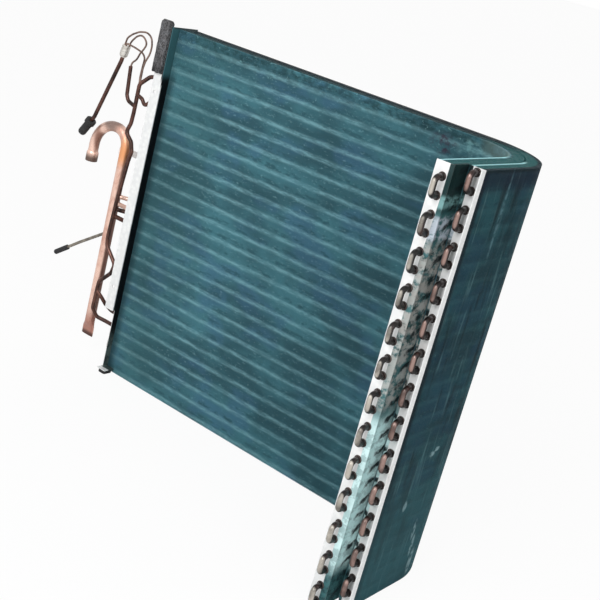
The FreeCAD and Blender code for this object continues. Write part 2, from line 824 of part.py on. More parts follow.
def rubber_cap(label, mouth, direction, bore, radius, length, collar_radius):
    """Cup-shaped cap pushed over a pipe end, with a collar at its mouth and a domed end."""
    body = new_body(label)
    if float(collar_radius) > float(radius):
        many_sided(body, "collar", collar_radius, size.cap_collar, TURNED_SIDES)
    skin = many_sided(body, "skin", radius, length, TURNED_SIDES)
    bevel_end(body, skin, length, radius * CAP_DOME)
    inside = drawing_on(body, "XY_Plane", "inside")
    draw_polygon(inside, ring_points((0, 0), bore + size.cap_clearance, TUBE_SIDES))
    pocket(body, inside, size.cap_depth, reversed_way=True)
    body.Placement = Placement(mouth, Rotation(Vector(0, 0, 1), direction))


def capped_pipe(name, radius, points, seat):
    """A pipe whose last run continues into a cap; gives the pipe, the cap's mouth and direction."""
    last = as_vector(points[-1])
    direction = last - as_vector(points[-2])
    direction.normalize()
    mouth = last - direction * float(seat)
    end = mouth + direction * float(size.cap_depth)
    return tube_run(name, radius, points[:-1] + [tuple(end)]), mouth, direction


def inlet(foot):
    """Pipe from the distributor's foot down to its rubber cap."""
    below = foot - DISTRIBUTOR_LEAN * float(size.distributor_radius)
    points = [tuple(foot), tuple(below)]
    points += route([(55, 0, 21.24), (79, 0, 17.86), (84, 0, 17.50)])
    pipe_piece, mouth, direction = capped_pipe(
        "inlet_pipe", size.line_radius, points, size.cap_setback)
    as_piece(pipe_piece, "inlet_pipe")
    rubber_cap(
        "inlet_cap", mouth, direction, size.line_radius, size.inlet_cap_radius, size.inlet_cap_length,
        size.cap_collar_radius)


def drop_tube(line):
    """Wide tube that takes one capillary and joins the liquid line from the left."""
    points = route([(25, 0, 22.38), (23, 0, 21.38), (21, 0, 20.33), (16, 0, 19.95), (0, 0, 19.76)])
    return trimmed(tube_run("drop_tube_run", size.branch_radius, points), line, "drop_tube")


def outlet(foot, turn):
    """A capillary's start on the distributor's upper face and its straight lead."""
    side = Rotation(DISTRIBUTOR_LEAN, turn).multVec(Vector(1, 0, -0.2).normalize())
    start = foot + DISTRIBUTOR_LEAN * float(size.distributor_length) + side * float(size.capillary_spread)
    return [tuple(start), tuple(start + DISTRIBUTOR_LEAN * float(size.capillary_spread))]


def capillaries(foot, line, tube):
    """Three thin tubes from the distributor: one to the drop tube, two to the liquid line."""
    far = outlet(foot, 180) + route([
        (43, 0, 24.20), (34, 0, 24.57), (21, 0, 24.90), (6, 0, 25.05), (-5, 0, 24.81), (-9, 0, 24.24),
        (-8, 0, 23.67), (-2, 0, 23.05), (0, 0, 22.57), (0, 0, 21.30)])
    trimmed(tube_run("capillary_a_run", size.capillary_radius, far, 6), line, "capillary_a")
    middle = outlet(foot, 60) + route([
        (29, 4, 24.14), (21, 4, 24.57), (12, 4, 24.76), (4, 4, 24.62), (-2, 4, 24.29), (2, 4, 23.90),
        (8, 4, 23.48), (13, 3, 22.98), (23, 1, 22.66), (25, 0, 22.20)])
    trimmed(tube_run("capillary_b_run", size.capillary_radius, middle, 6), tube, "capillary_b")
    near_one = outlet(foot, -60) + route([
        (24, -4, 23.67), (10, -4, 23.52), (4, -4, 23.24), (5, -4, 22.67), (4, -2, 21.90),
        (0, 0, 21.00)])
    trimmed(tube_run("capillary_c_run", size.capillary_radius, near_one, 6), line, "capillary_c")


def process_tube(core):
    """Thin service tube brazed to the header, closed with a rubber cap."""
    points = [(header_x, inner_row_depth, size.process_level)]
    points += route([(84.8, -28.5, 7.75), (109.1, -28.5, 6.91)])
    tube, mouth, direction = capped_pipe("process_tube_run", size.process_radius, points, 0)
    trimmed(tube, core, "process_tube")
    rubber_cap(
        "process_cap", mouth, direction, size.process_radius, size.process_cap_radius,
        size.process_cap_length, size.process_cap_radius)


# The coil

fin_slab("inner_fin_pack", 0, inner_end, gaps_outside=False, gaps_per_step=2)
fin_slab("outer_fin_pack", row_spacing, outer_end, gaps_outside=True, gaps_per_step=3)
hairpin_bends("inner_hairpin_bends", inner_row_x, inner_end, inner_tube(0))
hairpin_bends("outer_hairpin_bends", outer_row_x, outer_end, outer_tube(0))
bend_group(
    "inner_return_bends",
    return_pairs(inner_row_depth, inner_tube, (lower_feed, middle_feed, upper_feed)))
bend_group("outer_return_bends", return_pairs(outer_row_depth, outer_tube, (middle_feed,)))
last_tube = 2 * hairpin_count - 1
bend_group("crossover_bends", [
    ((inner_row_depth, inner_tube(0)), (outer_row_depth, outer_tube(0))),
    ((inner_row_depth, inner_tube(last_tube)), (outer_row_depth, outer_tube(last_tube)))])
inner_end_plate()
outer_end_plate()
header_end_plate()
foot_pad()
seal_pad()
gas_header()
core = header_core()
first_gas_tube = 2 * middle_feed + 1
gas_stub("gas_stub_inner_low", inner_row_depth, inner_tube(first_gas_tube), core)
gas_stub("gas_stub_inner_high", inner_row_depth, inner_tube(first_gas_tube + 1), core)
gas_stub("gas_stub_outer_low", outer_row_depth, outer_tube(first_gas_tube), core)
gas_stub("gas_stub_outer_high", outer_row_depth, outer_tube(first_gas_tube + 1), core)
header_clip()
line = liquid_line()
liquid_branches(line)
distributor_foot = distributor()
inlet(distributor_foot)
side_tube = drop_tube(line)
capillaries(distributor_foot, line, side_tube)
process_tube(core)
doc.recompute()

# The origin goes to the middle of the box's lower face
box = FreeCAD.BoundBox()
for piece in pieces:
    box.add(piece.Shape.optimalBoundingBox(False, False))
to_origin = Placement(Vector(-box.Center.x, -box.Center.y, -box.ZMin), Rotation())
for thing in movable:
    thing.Placement = to_origin * thing.Placement
doc.recompute()

for thing in doc.Objects:
    if "Invalid" in thing.State or "Error" in thing.State:
        raise RuntimeError(thing.Label + " failed to build")
for piece in pieces:
    if piece.Shape.isNull() or not piece.Shape.isValid():
        raise RuntimeError(piece.Label + " has no valid shape")

os.makedirs("parts", exist_ok=True)
for piece in pieces:
    piece.Shape.exportStep(os.path.join("parts", piece.Label + ".step"))
print(len(pieces), "sub-parts written, box", box)
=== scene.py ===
"""Looks of the condenser coil: fins on round tubes, bends, end plates, pipes, foam and caps."""

import math

import bmesh
import bpy
from mathutils import Matrix, Vector, noise


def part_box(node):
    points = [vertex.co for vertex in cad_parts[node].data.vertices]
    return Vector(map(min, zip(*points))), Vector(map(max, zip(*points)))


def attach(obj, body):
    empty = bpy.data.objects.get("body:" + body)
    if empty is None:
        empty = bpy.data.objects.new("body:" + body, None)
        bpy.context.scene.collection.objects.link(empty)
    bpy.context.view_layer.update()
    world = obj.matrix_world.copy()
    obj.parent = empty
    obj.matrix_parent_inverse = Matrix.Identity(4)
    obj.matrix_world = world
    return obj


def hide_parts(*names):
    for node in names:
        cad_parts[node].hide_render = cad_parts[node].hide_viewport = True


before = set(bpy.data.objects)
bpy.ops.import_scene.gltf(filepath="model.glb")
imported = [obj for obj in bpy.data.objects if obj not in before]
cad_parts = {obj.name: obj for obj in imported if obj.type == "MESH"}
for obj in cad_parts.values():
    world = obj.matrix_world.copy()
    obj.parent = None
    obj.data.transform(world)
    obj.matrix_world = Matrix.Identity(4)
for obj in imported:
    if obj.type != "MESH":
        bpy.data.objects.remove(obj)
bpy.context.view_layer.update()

# Sizes of the coil, in millimetres from the fins' lower front corner at the header end
MM = 0.001
FIN_DEPTH = 19.0
TUBES = 26
TUBE_RADIUS = 3.5
CORNER_RADIUS = 75.0
FIN_PITCH = 1.5
FIN_SHEET = 0.2
FIN_FOLD = 1.6
FOLD_REACH = 6.0
FIN_MARGIN = 0.5
FIN_DRIFT = 0.25
COLLAR_RADIUS = 3.75
PLATE = 1.2
BEND_LEAD = 2.2
# Where the painted highlight on the hairpins' crowns begins, from the short leg's end
INNER_HIGHLIGHT = 15.9
OUTER_HIGHLIGHT = 15.6
HEADER_OUT = 65.0
HEADER_SEAT = 6.5
LINE_OUT = 51.0
LINE_FRONT = 4.0
LINE_RADIUS = 3.175
BRANCH_RADIUS = 3.0
BRANCH_BEND = 8.0
DROP_BEND = 10.0
PIPE_BEND = 9.0
CAPILLARY_RADIUS = 1.4
CAPILLARY_BEND = 25.0
PROCESS_RADIUS = 2.5
STUB_BEND = 12.0
# The stripes over the tubes stand a little low in the fins' face
STRIPE_DROP = 0.2
FOAM_GRID = 0.9
FOAM_DENT = 0.7
FOAM_PIT = 0.9
FOAM_FRAY = 2.0
FOAM_FRAYED_HEIGHT = 8.0

# Other numbers
FOAM_SMOOTHING = 5
FIN_LEAN = 0.035
FIN_JITTER = 0.02
TOP_GREEN = (0.01, 0.12, 0.12)
# Share of the way to the header where an outer row's stub turns
STUB_TURN = 0.45
# Gaps in a row's chain of return bends, where pipes join its tubes
FED_GAPS = {"inner": (1, 5, 10), "outer": (5,)}
# Sockets of a mix node: its two numbers, its two colours and its mixed colour
MIX_NUMBERS = (2, 3)
MIX_COLOURS = (6, 7)
MIXED_COLOUR = 2

inner_low, inner_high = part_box("inner_fin_pack")
outer_low, outer_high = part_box("outer_fin_pack")
COIL_START = Vector((inner_low.x, inner_high.y - FIN_DEPTH * MM, inner_low.z))
TO_ROW = Matrix.Translation(COIL_START) @ Matrix.Scale(MM, 4)
FIN_HEIGHT = (inner_high.z - inner_low.z) / MM
TUBE_PITCH = FIN_HEIGHT / TUBES
ROW_SPACING = (outer_high.x - inner_high.x) / MM
LONG_LEG = (inner_high.x - inner_low.x) / MM - CORNER_RADIUS - FIN_DEPTH
INNER_END = (inner_high.y - inner_low.y) / MM - FIN_DEPTH
OUTER_END = (outer_high.y - outer_low.y) / MM - FIN_DEPTH - ROW_SPACING
INNER_ROW = FIN_DEPTH / 2
OUTER_ROW = INNER_ROW + ROW_SPACING
CORNER = Vector((LONG_LEG, -CORNER_RADIUS, 0))
COIL_DEPTH = FIN_DEPTH + ROW_SPACING


def inner_tube(number):
    """Height of a tube of the inner row, counted from the bottom."""
    return TUBE_PITCH * (number + 0.25)


def outer_tube(number):
    """Height of a tube of the outer row, half a pitch above the inner one."""
    return inner_tube(number) + TUBE_PITCH / 2


# Finishes

def new_finish(name, roughness, metallic=0.0):
    """A material with its shader, object coordinates and node tools."""
    material = bpy.data.materials.new(name)
    material.use_nodes = True
    tree = material.node_tree
    shader = tree.nodes["Principled BSDF"]
    shader.inputs["Roughness"].default_value = roughness
    shader.inputs["Metallic"].default_value = metallic
    place = tree.nodes.new("ShaderNodeTexCoord").outputs["Object"]
    return material, tree, shader, place


def math_node(tree, operation, first, second=0.0, third=0.0):
    """A number worked out from sockets or plain values."""
    node = tree.nodes.new("ShaderNodeMath")
    node.operation = operation
    for socket, value in zip(node.inputs, (first, second, third)):
        if isinstance(value, (int, float)):
            socket.default_value = value
        else:
            tree.links.new(value, socket)
    return node.outputs[0]


def ramp(tree, value, low, high, low_result=0.0, high_result=1.0):
    """Carry a value smoothly from one range to another."""
    node = tree.nodes.new("ShaderNodeMapRange")
    node.interpolation_type = "SMOOTHSTEP"
    tree.links.new(value, node.inputs["Value"])
    for name, number in (
            ("From Min", low), ("From Max", high), ("To Min", low_result), ("To Max", high_result)):
        node.inputs[name].default_value = number
    return node.outputs["Result"]


def grain(tree, place, stretch, detail=3.0, roughness=0.55):
    """Noise over the piece, so many waves to the metre along each axis."""
    mapping = tree.nodes.new("ShaderNodeMapping")
    mapping.inputs["Scale"].default_value = stretch
    tree.links.new(place, mapping.inputs["Vector"])
    node = tree.nodes.new("ShaderNodeTexNoise")
    node.inputs["Scale"].default_value = 1.0
    node.inputs["Detail"].default_value = detail
    node.inputs["Roughness"].default_value = roughness
    tree.links.new(mapping.outputs["Vector"], node.inputs["Vector"])
    return node.outputs["Fac"]


def cells(tree, place, scale):
    """Distance from the middles of scattered cells."""
    node = tree.nodes.new("ShaderNodeTexVoronoi")
    node.inputs["Scale"].default_value = scale
    tree.links.new(place, node.inputs["Vector"])
    return node.outputs["Distance"]


def blend_colours(tree, share, low, high):
    """A colour between two colours or colour sockets."""
    node = tree.nodes.new("ShaderNodeMix")
    node.data_type = "RGBA"
    tree.links.new(share, node.inputs["Factor"])
    for socket, colour in zip(MIX_COLOURS, (low, high)):
        if isinstance(colour, tuple):
            node.inputs[socket].default_value = (*colour, 1.0)
        else:
            tree.links.new(colour, node.inputs[socket])
    return node.outputs[MIXED_COLOUR]


def measured_from(tree, place, middle, unit):
    """Places counted from a middle, in a unit of its own along each axis."""
    mapping = tree.nodes.new("ShaderNodeMapping")
    mapping.vector_type = "TEXTURE"
    mapping.inputs["Location"].default_value = middle
    mapping.inputs["Scale"].default_value = unit
    tree.links.new(place, mapping.inputs["Vector"])
    return mapping.outputs["Vector"]


def spot(tree, place, centre, reach):
    """A soft oval patch around a place given in coil millimetres, 1 at its middle."""
    offset = measured_from(tree, place, TO_ROW @ Vector(centre), Vector(reach) * MM)
    length = tree.nodes.new("ShaderNodeVectorMath")
    length.operation = "LENGTH"
    tree.links.new(offset, length.inputs[0])
    return ramp(tree, length.outputs["Value"], 0.5, 1.0, 1.0, 0.0)


def coil_axes(tree, place):
    """X, Y and Z in coil millimetres."""
    apart = tree.nodes.new("ShaderNodeSeparateXYZ")
    tree.links.new(measured_from(tree, place, COIL_START, (MM, MM, MM)), apart.inputs[0])
    return tuple(apart.outputs)


def slab_depth(tree, x, y):
    """Depth through the slabs from the fan side, followed round the corner."""
    past_x = math_node(tree, "MAXIMUM", math_node(tree, "SUBTRACT", x, LONG_LEG), 0.0)
    past_y = math_node(tree, "MAXIMUM", math_node(tree, "ADD", y, CORNER_RADIUS), 0.0)
    square = math_node(
        tree, "MULTIPLY_ADD", past_x, past_x, math_node(tree, "MULTIPLY", past_y, past_y))
    return math_node(tree, "SUBTRACT", math_node(tree, "SQRT", square), CORNER_RADIUS)


def window(tree, value, low, high, soft=2.0):
    """1 between two limits, fading out beyond them."""
    rise = ramp(tree, value, low - soft, low)
    fall = ramp(tree, value, high, high + soft, 1.0, 0.0)
    return math_node(tree, "MULTIPLY", rise, fall)


def tint(tree, colour, paint, amount, *masks):
    """Lay a paint over a colour where all the masks hold."""
    share = masks[0]
    for mask in masks[1:]:
        share = math_node(tree, "MULTIPLY", share, mask)
    return blend_colours(tree, math_node(tree, "MULTIPLY", share, amount), colour, paint)


def stripes(tree, height, middle, half_width, soft):
    """Bands one tube pitch apart round a middle height."""
    turns = math_node(tree, "DIVIDE", math_node(tree, "SUBTRACT", height, middle), TUBE_PITCH)
    share = math_node(tree, "FRACT", math_node(tree, "ADD", turns, 0.5))
    distance = math_node(tree, "ABSOLUTE", math_node(tree, "SUBTRACT", share, 0.5))
    return ramp(tree, distance, half_width, half_width + soft, 1.0, 0.0)


def cover(tree, shader, colour, height, distance, strength=0.6):
    """Give a finish its colour, and raise its surface by a height value."""
    tree.links.new(colour, shader.inputs["Base Color"])
    node = tree.nodes.new("ShaderNodeBump")
    node.inputs["Strength"].default_value = strength
    node.inputs["Distance"].default_value = distance
    tree.links.new(height, node.inputs["Height"])
    tree.links.new(node.outputs["Normal"], shader.inputs["Normal"])


def fin_stock(tree, place, z, stripe_middle, dark, base, blue, light, stripe_share):
    """Coated fin stock in cloudy blue-green, with painted highlight stripes over each tube and
    painted shade bands a little above them.
    """
    clouds = ramp(tree, grain(tree, place, (8, 8, 14), 3.0), 0.35, 0.65)
    colour = blend_colours(tree, clouds, dark, base)
    cool = ramp(tree, grain(tree, place, (14, 14, 22), 2.0), 0.5, 0.66, 0.0, 0.5)
    colour = blend_colours(tree, cool, colour, blue)
    waver = grain(tree, place, (9, 9, 30), 2.0)
    level = math_node(tree, "MULTIPLY_ADD", math_node(tree, "SUBTRACT", waver, 0.5), 3.0, z)
    speckle = ramp(tree, grain(tree, place, (48, 48, 280), 4.0, 0.75), 0.38, 0.62, 0.3, 1.0)
    # Painted shade: dark bands a little above each tube row
    shade_band = stripes(tree, level, stripe_middle + TUBE_PITCH * 0.3, 0.1, 0.16)
    blotch = ramp(tree, grain(tree, place, (55, 55, 150), 3.0, 0.7), 0.45, 0.62)
    colour = tint(tree, colour, dark, 0.75, shade_band, blotch)
    # Painted highlight: pale stripes over each tube row
    pale = stripes(tree, level, stripe_middle, 0.03, 0.21)
    colour = tint(tree, colour, light, stripe_share, pale, speckle)
    fleck = ramp(tree, grain(tree, place, (190, 190, 420), 2.0, 0.6), 0.6, 0.74, 0.0, 0.5)
    return blend_colours(tree, fleck, colour, light)


def step_colours(tree, place, colour, where, y, z):
    """The step between the end plates: dark on top, mottled below, then pale cyan low down, with
    dark slanted strokes of painted shade by the outer plate.
    """
    patchy = ramp(tree, grain(tree, place, (70, 70, 95), 4.0, 0.65), 0.4, 0.56)
    mottle = ramp(tree, grain(tree, place, (90, 90, 160), 4.0, 0.7), 0.4, 0.6)
    colour = tint(tree, colour, (0.05, 0.16, 0.17), 1.0, where)
    colour = tint(tree, colour, (0.004, 0.022, 0.022), 0.92, where, ramp(tree, z, 486.0, 500.0))
    pale_breaks = ramp(tree, patchy, 0.0, 1.0, 0.6, 1.0)
    for paint, amount, low, high, soft, breaks in (
            ((0.25, 0.5, 0.5), 0.7, 500.0, 508.0, 6.0, patchy),
            ((0.7, 0.74, 0.84), 0.7, 464.0, 484.0, 8.0, patchy),
            ((0.012, 0.03, 0.03), 0.85, 330.0, 455.0, 12.0, mottle),
            ((0.62, 0.6, 0.57), 0.62, 270.0, 448.0, 20.0, patchy),
            ((0.68, 0.93, 0.93), 0.97, 62.0, 235.0, 26.0, pale_breaks)):
        level = window(tree, z, low, high, soft)
        colour = tint(tree, colour, paint, amount, where, level, breaks)
    # Painted shade: dark slanted strokes by the outer plate, broken up raggedly
    warp = math_node(tree, "MULTIPLY", grain(tree, place, (70, 70, 40), 3.0, 0.6), 16.0)
    slant = math_node(tree, "ADD", math_node(tree, "MULTIPLY_ADD", y, -0.35, z), warp)
    strokes = stripes(tree, slant, inner_tube(0) + 85.0, 0.1, 0.13)
    ragged = ramp(tree, grain(tree, place, (120, 120, 90), 4.0, 0.7), 0.32, 0.52)
    by_plate = window(tree, y, -OUTER_END - 13.0, -OUTER_END, 7.0)
    colour = tint(tree, colour, (0.003, 0.012, 0.015), 0.97, where, strokes, by_plate, ragged)
    at_foot = ramp(tree, z, 34.0, 54.0, 1.0, 0.0)
    return tint(tree, colour, (0.004, 0.02, 0.026), 0.7, where, at_foot, mottle)


def slab_finish(name, slab_colour):
    """Fin stock of one slab, coloured by where it lies in the coil."""
    material, tree, shader, place = new_finish(name, 0.42)
    x, y, z = coil_axes(tree, place)
    colour = slab_colour(tree, place, x, y, z, slab_depth(tree, x, y))
    tree.links.new(colour, shader.inputs["Base Color"])
    shader.inputs["Specular IOR Level"].default_value = 0.6
    return material


def inner_slab_colour(tree, place, x, y, z, depth):
    """The slab on the fan side, with its pale corner edges, painted shade by the header plate's lip
    and the coloured end by the plates.
    """
    deep_green = (0.012, 0.05, 0.055)
    pale_cyan = (0.42, 0.78, 0.8)
    colour = fin_stock(
        tree, place, z, inner_tube(0) - STRIPE_DROP, dark=(0.08, 0.23, 0.28),
        base=(0.15, 0.42, 0.49), blue=(0.13, 0.32, 0.5), light=(0.42, 0.76, 0.82),
        stripe_share=0.8)
    mottle = ramp(tree, grain(tree, place, (90, 90, 160), 4.0, 0.7), 0.4, 0.6)
    colour = tint(tree, colour, deep_green, 0.55, ramp(tree, z, 520.0, 542.0), mottle)
    specks = ramp(tree, grain(tree, place, (230, 230, 260), 2.0), 0.66, 0.74)
    colour = tint(tree, colour, pale_cyan, 0.8, ramp(tree, z, 500.0, 530.0), specks)
    # Painted shade: the header plate's lip shades the first fins, less so beside the foam
    by_lip = ramp(tree, x, 2.0, 18.0, 1.0, 0.0)
    below_foam = ramp(tree, z, 468.0, 490.0, 1.0, 0.35)
    colour = tint(tree, colour, (0.02, 0.045, 0.07), 0.75, by_lip, below_foam)
    colour = tint(tree, colour, (0.07, 0.2, 0.21), 0.3, ramp(tree, x, 60.0, 150.0, 1.0, 0.0))
    past_bend = ramp(tree, x, 512.0, 530.0)
    on_top = ramp(tree, z, 540.0, 545.0)
    colour = tint(tree, colour, deep_green, 0.85, on_top, ramp(tree, depth, 2.0, 5.0))
    behind_edge = ramp(tree, depth, 3.0, 7.0)
    colour = tint(tree, colour, TOP_GREEN, 0.7, on_top, past_bend, behind_edge)
    high_up = ramp(tree, z, 526.0, 536.0)
    at_face = ramp(tree, depth, 1.0, 3.0, 1.0, 0.0)
    colour = tint(tree, colour, (0.2, 0.3, 0.28), 0.7, high_up, past_bend, at_face)
    edge = window(tree, depth, -1.0, 2.0, 1.0)
    short_leg = ramp(tree, y, -72.0, -52.0, 1.0, 0.0)
    top_edge = ramp(tree, z, 540.0, 543.0)
    colour = tint(tree, colour, pale_cyan, 0.95, top_edge, past_bend, short_leg, edge)
    broken = ramp(tree, grain(tree, place, (85, 85, 130), 4.0, 0.7), 0.44, 0.6)
    pale_mark = spot(tree, place, (502, 0, 530), (30, 30, 16))
    colour = tint(tree, colour, pale_cyan, 0.6, pale_mark, broken)
    dark_mark = spot(tree, place, (468, 0, 525), (26, 20, 17))
    colour = tint(tree, colour, (0.12, 0.08, 0.14), 0.85, dark_mark, broken)
    open_end = window(tree, depth, FIN_DEPTH - 3.0, FIN_DEPTH + 1.0, 0.5)
    past_outer_end = ramp(tree, y, -OUTER_END, -OUTER_END + 2, 1.0, 0.0)
    open_end = math_node(tree, "MULTIPLY", open_end, past_outer_end)
    return step_colours(tree, place, colour, open_end, y, z)


def outer_slab_colour(tree, place, x, y, z, depth):
    """The slab on the outside, darker as painted shade of its side turned from the light, with
    upright scuffs, a band of painted shade by the plate and a few crushed places painted pale as
    highlights.
    """
    deep = (0.004, 0.018, 0.024)
    # Painted shade: the same fin stock as the inner slab, painted darker for the side turned from
    # the light
    colour = fin_stock(
        tree, place, z, outer_tube(0) - STRIPE_DROP, dark=(0.014, 0.06, 0.08),
        base=(0.024, 0.11, 0.135), blue=(0.018, 0.075, 0.13), light=(0.08, 0.22, 0.24),
        stripe_share=0.22)
    open_side = ramp(tree, depth, COIL_DEPTH - 3.0, COIL_DEPTH - 1.0)
    scuffs = ramp(tree, grain(tree, place, (150, 150, 9), 3.0, 0.6), 0.56, 0.72)
    colour = tint(tree, colour, (0.16, 0.33, 0.36), 0.55, open_side, scuffs)
    shade = ramp(tree, grain(tree, place, (60, 60, 12), 3.0, 0.6), 0.5, 0.7)
    colour = tint(tree, colour, deep, 0.7, open_side, shade)
    # Painted shade: a dark band next to the outer plate
    by_plate = ramp(tree, y, -OUTER_END + 5, -OUTER_END + 14, 1.0, 0.0)
    colour = tint(tree, colour, (0.004, 0.014, 0.022), 0.85, by_plate)
    colour = tint(tree, colour, (0.008, 0.018, 0.04), 0.7, ramp(tree, z, 512.0, 534.0), open_side)
    short_side = ramp(tree, y, -40.0, -20.0, 1.0, 0.0)
    low_down = ramp(tree, z, 20.0, 260.0, 1.0, 0.0)
    colour = tint(tree, colour, (0.07, 0.21, 0.24), 0.4, low_down, open_side, short_side)
    colour = tint(tree, colour, deep, 0.9, ramp(tree, z, 540.0, 545.0))
    corner_top = math_node(
        tree, "MULTIPLY", ramp(tree, z, 541.0, 545.0), ramp(tree, x, 530.0, 580.0))
    before_rim = ramp(tree, depth, COIL_DEPTH - 7.0, COIL_DEPTH - 4.0, 1.0, 0.0)
    colour = tint(tree, colour, TOP_GREEN, 0.8, corner_top, before_rim)
    edge = window(tree, depth, ROW_SPACING - 1.0, ROW_SPACING + 3.0, 1.0)
    short_leg = math_node(
        tree, "MULTIPLY", ramp(tree, x, 512.0, 530.0), ramp(tree, y, -60.0, -42.0, 1.0, 0.0))
    top_edge = ramp(tree, z, 539.0, 542.0)
    colour = tint(tree, colour, (0.4, 0.72, 0.74), 0.9, top_edge, short_leg, edge)
    # Crushed fins, painted pale as highlights where they catch the light
    crushed = ramp(tree, grain(tree, place, (140, 140, 140), 3.0), 0.34, 0.58)
    for centre, reach in (
            ((625, -80, 76), (5, 4, 18)), ((625, -73, 52), (5, 4, 20)),
            ((624, -63, 24), (9, 7, 24)), ((625, -126, 122), (5, 5, 9)),
            ((625, -97, 187), (5, 7, 5)), ((625, -88, 192), (5, 8, 4)),
            ((609, -17, 490), (10, 11, 55))):
        mark = spot(tree, place, centre, reach)
        colour = tint(tree, colour, (0.42, 0.62, 0.66), 0.75, mark, crushed)
    long_scuff = spot(tree, place, (625, -117, 490), (4, 4, 66))
    return tint(tree, colour, (0.22, 0.42, 0.48), 0.45, long_scuff, crushed)


def crown_highlights(tree, place, colour, highlight_start, paint):
    """Painted highlight on the hairpins' crowns, past a line that lies nearer the plate low down.
    """
    _, y, z = coil_axes(tree, place)
    line = ramp(tree, z, 180.0, 360.0, highlight_start + 2.2, highlight_start)
    beyond = ramp(tree, math_node(tree, "SUBTRACT", line, y), -0.6, 1.2)
    uneven = ramp(tree, grain(tree, place, (30, 30, 26), 3.0, 0.6), 0.36, 0.58, 0.3, 1.0)
    return tint(tree, colour, paint, 0.9, beyond, uneven)


def copper_finish(name, bright, tarnish, share, metallic, roughness, marks=(), highlight=None):
    """Drawn copper with brown tarnish in clouds, listed marks of heat and painted shade, painted
    highlights on the hairpins' crowns and fine drawing lines.
    """
    material, tree, shader, place = new_finish(name, roughness, metallic)
    clouds = grain(tree, place, (55, 55, 30), 5.0, 0.65)
    mask = ramp(tree, clouds, share - 0.16, share + 0.16)
    colour = blend_colours(tree, mask, tarnish, bright)
    for centre, reach, paint in marks:
        colour = tint(tree, colour, paint, 0.85, spot(tree, place, centre, reach))
    if highlight:
        colour = crown_highlights(tree, place, colour, *highlight)
    rough = ramp(tree, clouds, 0.3, 0.7, roughness + 0.15, roughness - 0.08)
    tree.links.new(rough, shader.inputs["Roughness"])
    cover(tree, shader, colour, grain(tree, place, (900, 900, 90), 2.0), 0.0002, 0.35)
    return material


def inner_plate_marks(tree, place, colour):
    """The step's colours and painted shade laid over the inner plate's outer part, by the step."""
    x, y, z = coil_axes(tree, place)
    line = ramp(tree, z, 430.0, 520.0, 11.8, 14.8)
    past = ramp(tree, math_node(tree, "SUBTRACT", slab_depth(tree, x, y), line), 0.0, 0.8)
    return step_colours(tree, place, colour, past, y, z)


def outer_plate_marks(tree, place, colour):
    """The step's colours and painted shade laid over the outer plate's edge, by the step."""
    x, y, z = coil_axes(tree, place)
    line = ROW_SPACING + 4.2
    before = ramp(tree, slab_depth(tree, x, y), line - 0.8, line, 1.0, 0.0)
    return step_colours(tree, place, colour, before, y, z)


def lip_marks(tree, place, colour):
    """The header plate's lip: painted shade on its face by the fins and on its fold behind the
    foam, coated beside the foam and paler, mottled grey-green at its foot.
    """
    x, y, z = coil_axes(tree, place)
    # Painted shade: black on the lip's face toward the fins and on its fold behind the foam
    fin_side = ramp(tree, x, -0.9, -0.3)
    by_foam = math_node(
        tree, "MULTIPLY", ramp(tree, x, -2.6, -1.6), ramp(tree, z, 462.0, 474.0))
    inside = math_node(tree, "MAXIMUM", fin_side, by_foam)
    behind_corner = math_node(
        tree, "MAXIMUM", ramp(tree, y, -13.6, -11.6), ramp(tree, z, 456.0, 464.0))
    in_front = math_node(
        tree, "MULTIPLY", behind_corner, ramp(tree, y, 3.0, 6.0, 1.0, 0.0))
    colour = tint(tree, colour, (0.003, 0.0035, 0.005), 1.0, inside, in_front)
    beside_foam = math_node(tree, "MULTIPLY", fin_side, ramp(tree, z, 468.0, 482.0))
    colour = tint(tree, colour, (0.05, 0.15, 0.17), 0.9, beside_foam, in_front)
    # Paler mottled grey-green over the painted shade at the lip's foot
    mottled_shade = ramp(tree, grain(tree, place, (110, 110, 80), 3.0), 0.4, 0.6, 0.4, 1.0)
    low = ramp(tree, z, 40.0, 80.0, 1.0, 0.0)
    colour = tint(tree, colour, (0.13, 0.18, 0.17), 0.9, low, inside, in_front, mottled_shade)
    top_edge = ramp(tree, z, 545.0, 546.0)
    behind_lip = ramp(tree, y, -13.0, -9.0)
    return tint(tree, colour, (0.02, 0.05, 0.055), 0.95, top_edge, behind_lip)


def galvanised_finish(name, marks=None):
    """Pale zinc-coated sheet with soft spangle, and the marks of its own plate."""
    material, tree, shader, place = new_finish(name, 0.38, 0.15)
    spangle = ramp(tree, cells(tree, place, 140.0), 0.0, 0.8)
    colour = blend_colours(tree, spangle, (0.9, 0.91, 0.9), (0.8, 0.81, 0.81))
    smear = ramp(tree, grain(tree, place, (40, 40, 25), 4.0), 0.56, 0.74, 0.0, 0.5)
    colour = blend_colours(tree, smear, colour, (0.55, 0.5, 0.46))
    if marks:
        colour = marks(tree, place, colour)
    cover(tree, shader, colour, spangle, 0.0001, 0.3)
    return material


def plain_finish(name, dark, light, waves, roughness):
    """One paint clouded with another, for painted shade on the plate collars and dull tube."""
    material, tree, shader, place = new_finish(name, roughness, 0.2)
    clouds = ramp(tree, grain(tree, place, (waves, waves, waves), 4.0, 0.65), 0.35, 0.65)
    cover(tree, shader, blend_colours(tree, clouds, dark, light), clouds, 0.0002, 0.4)
    return material


def turned_finish():
    """Dull turned brass of the distributor, with fine lathe rings."""
    material, tree, shader, place = new_finish("turned_brass", 0.35, 0.8)
    rings = grain(tree, place, (15, 15, 1400), 1.0)
    colour = blend_colours(tree, ramp(tree, rings, 0.3, 0.7), (0.6, 0.57, 0.52), (0.8, 0.77, 0.72))
    cover(tree, shader, colour, rings, 0.0002, 0.4)
    return material


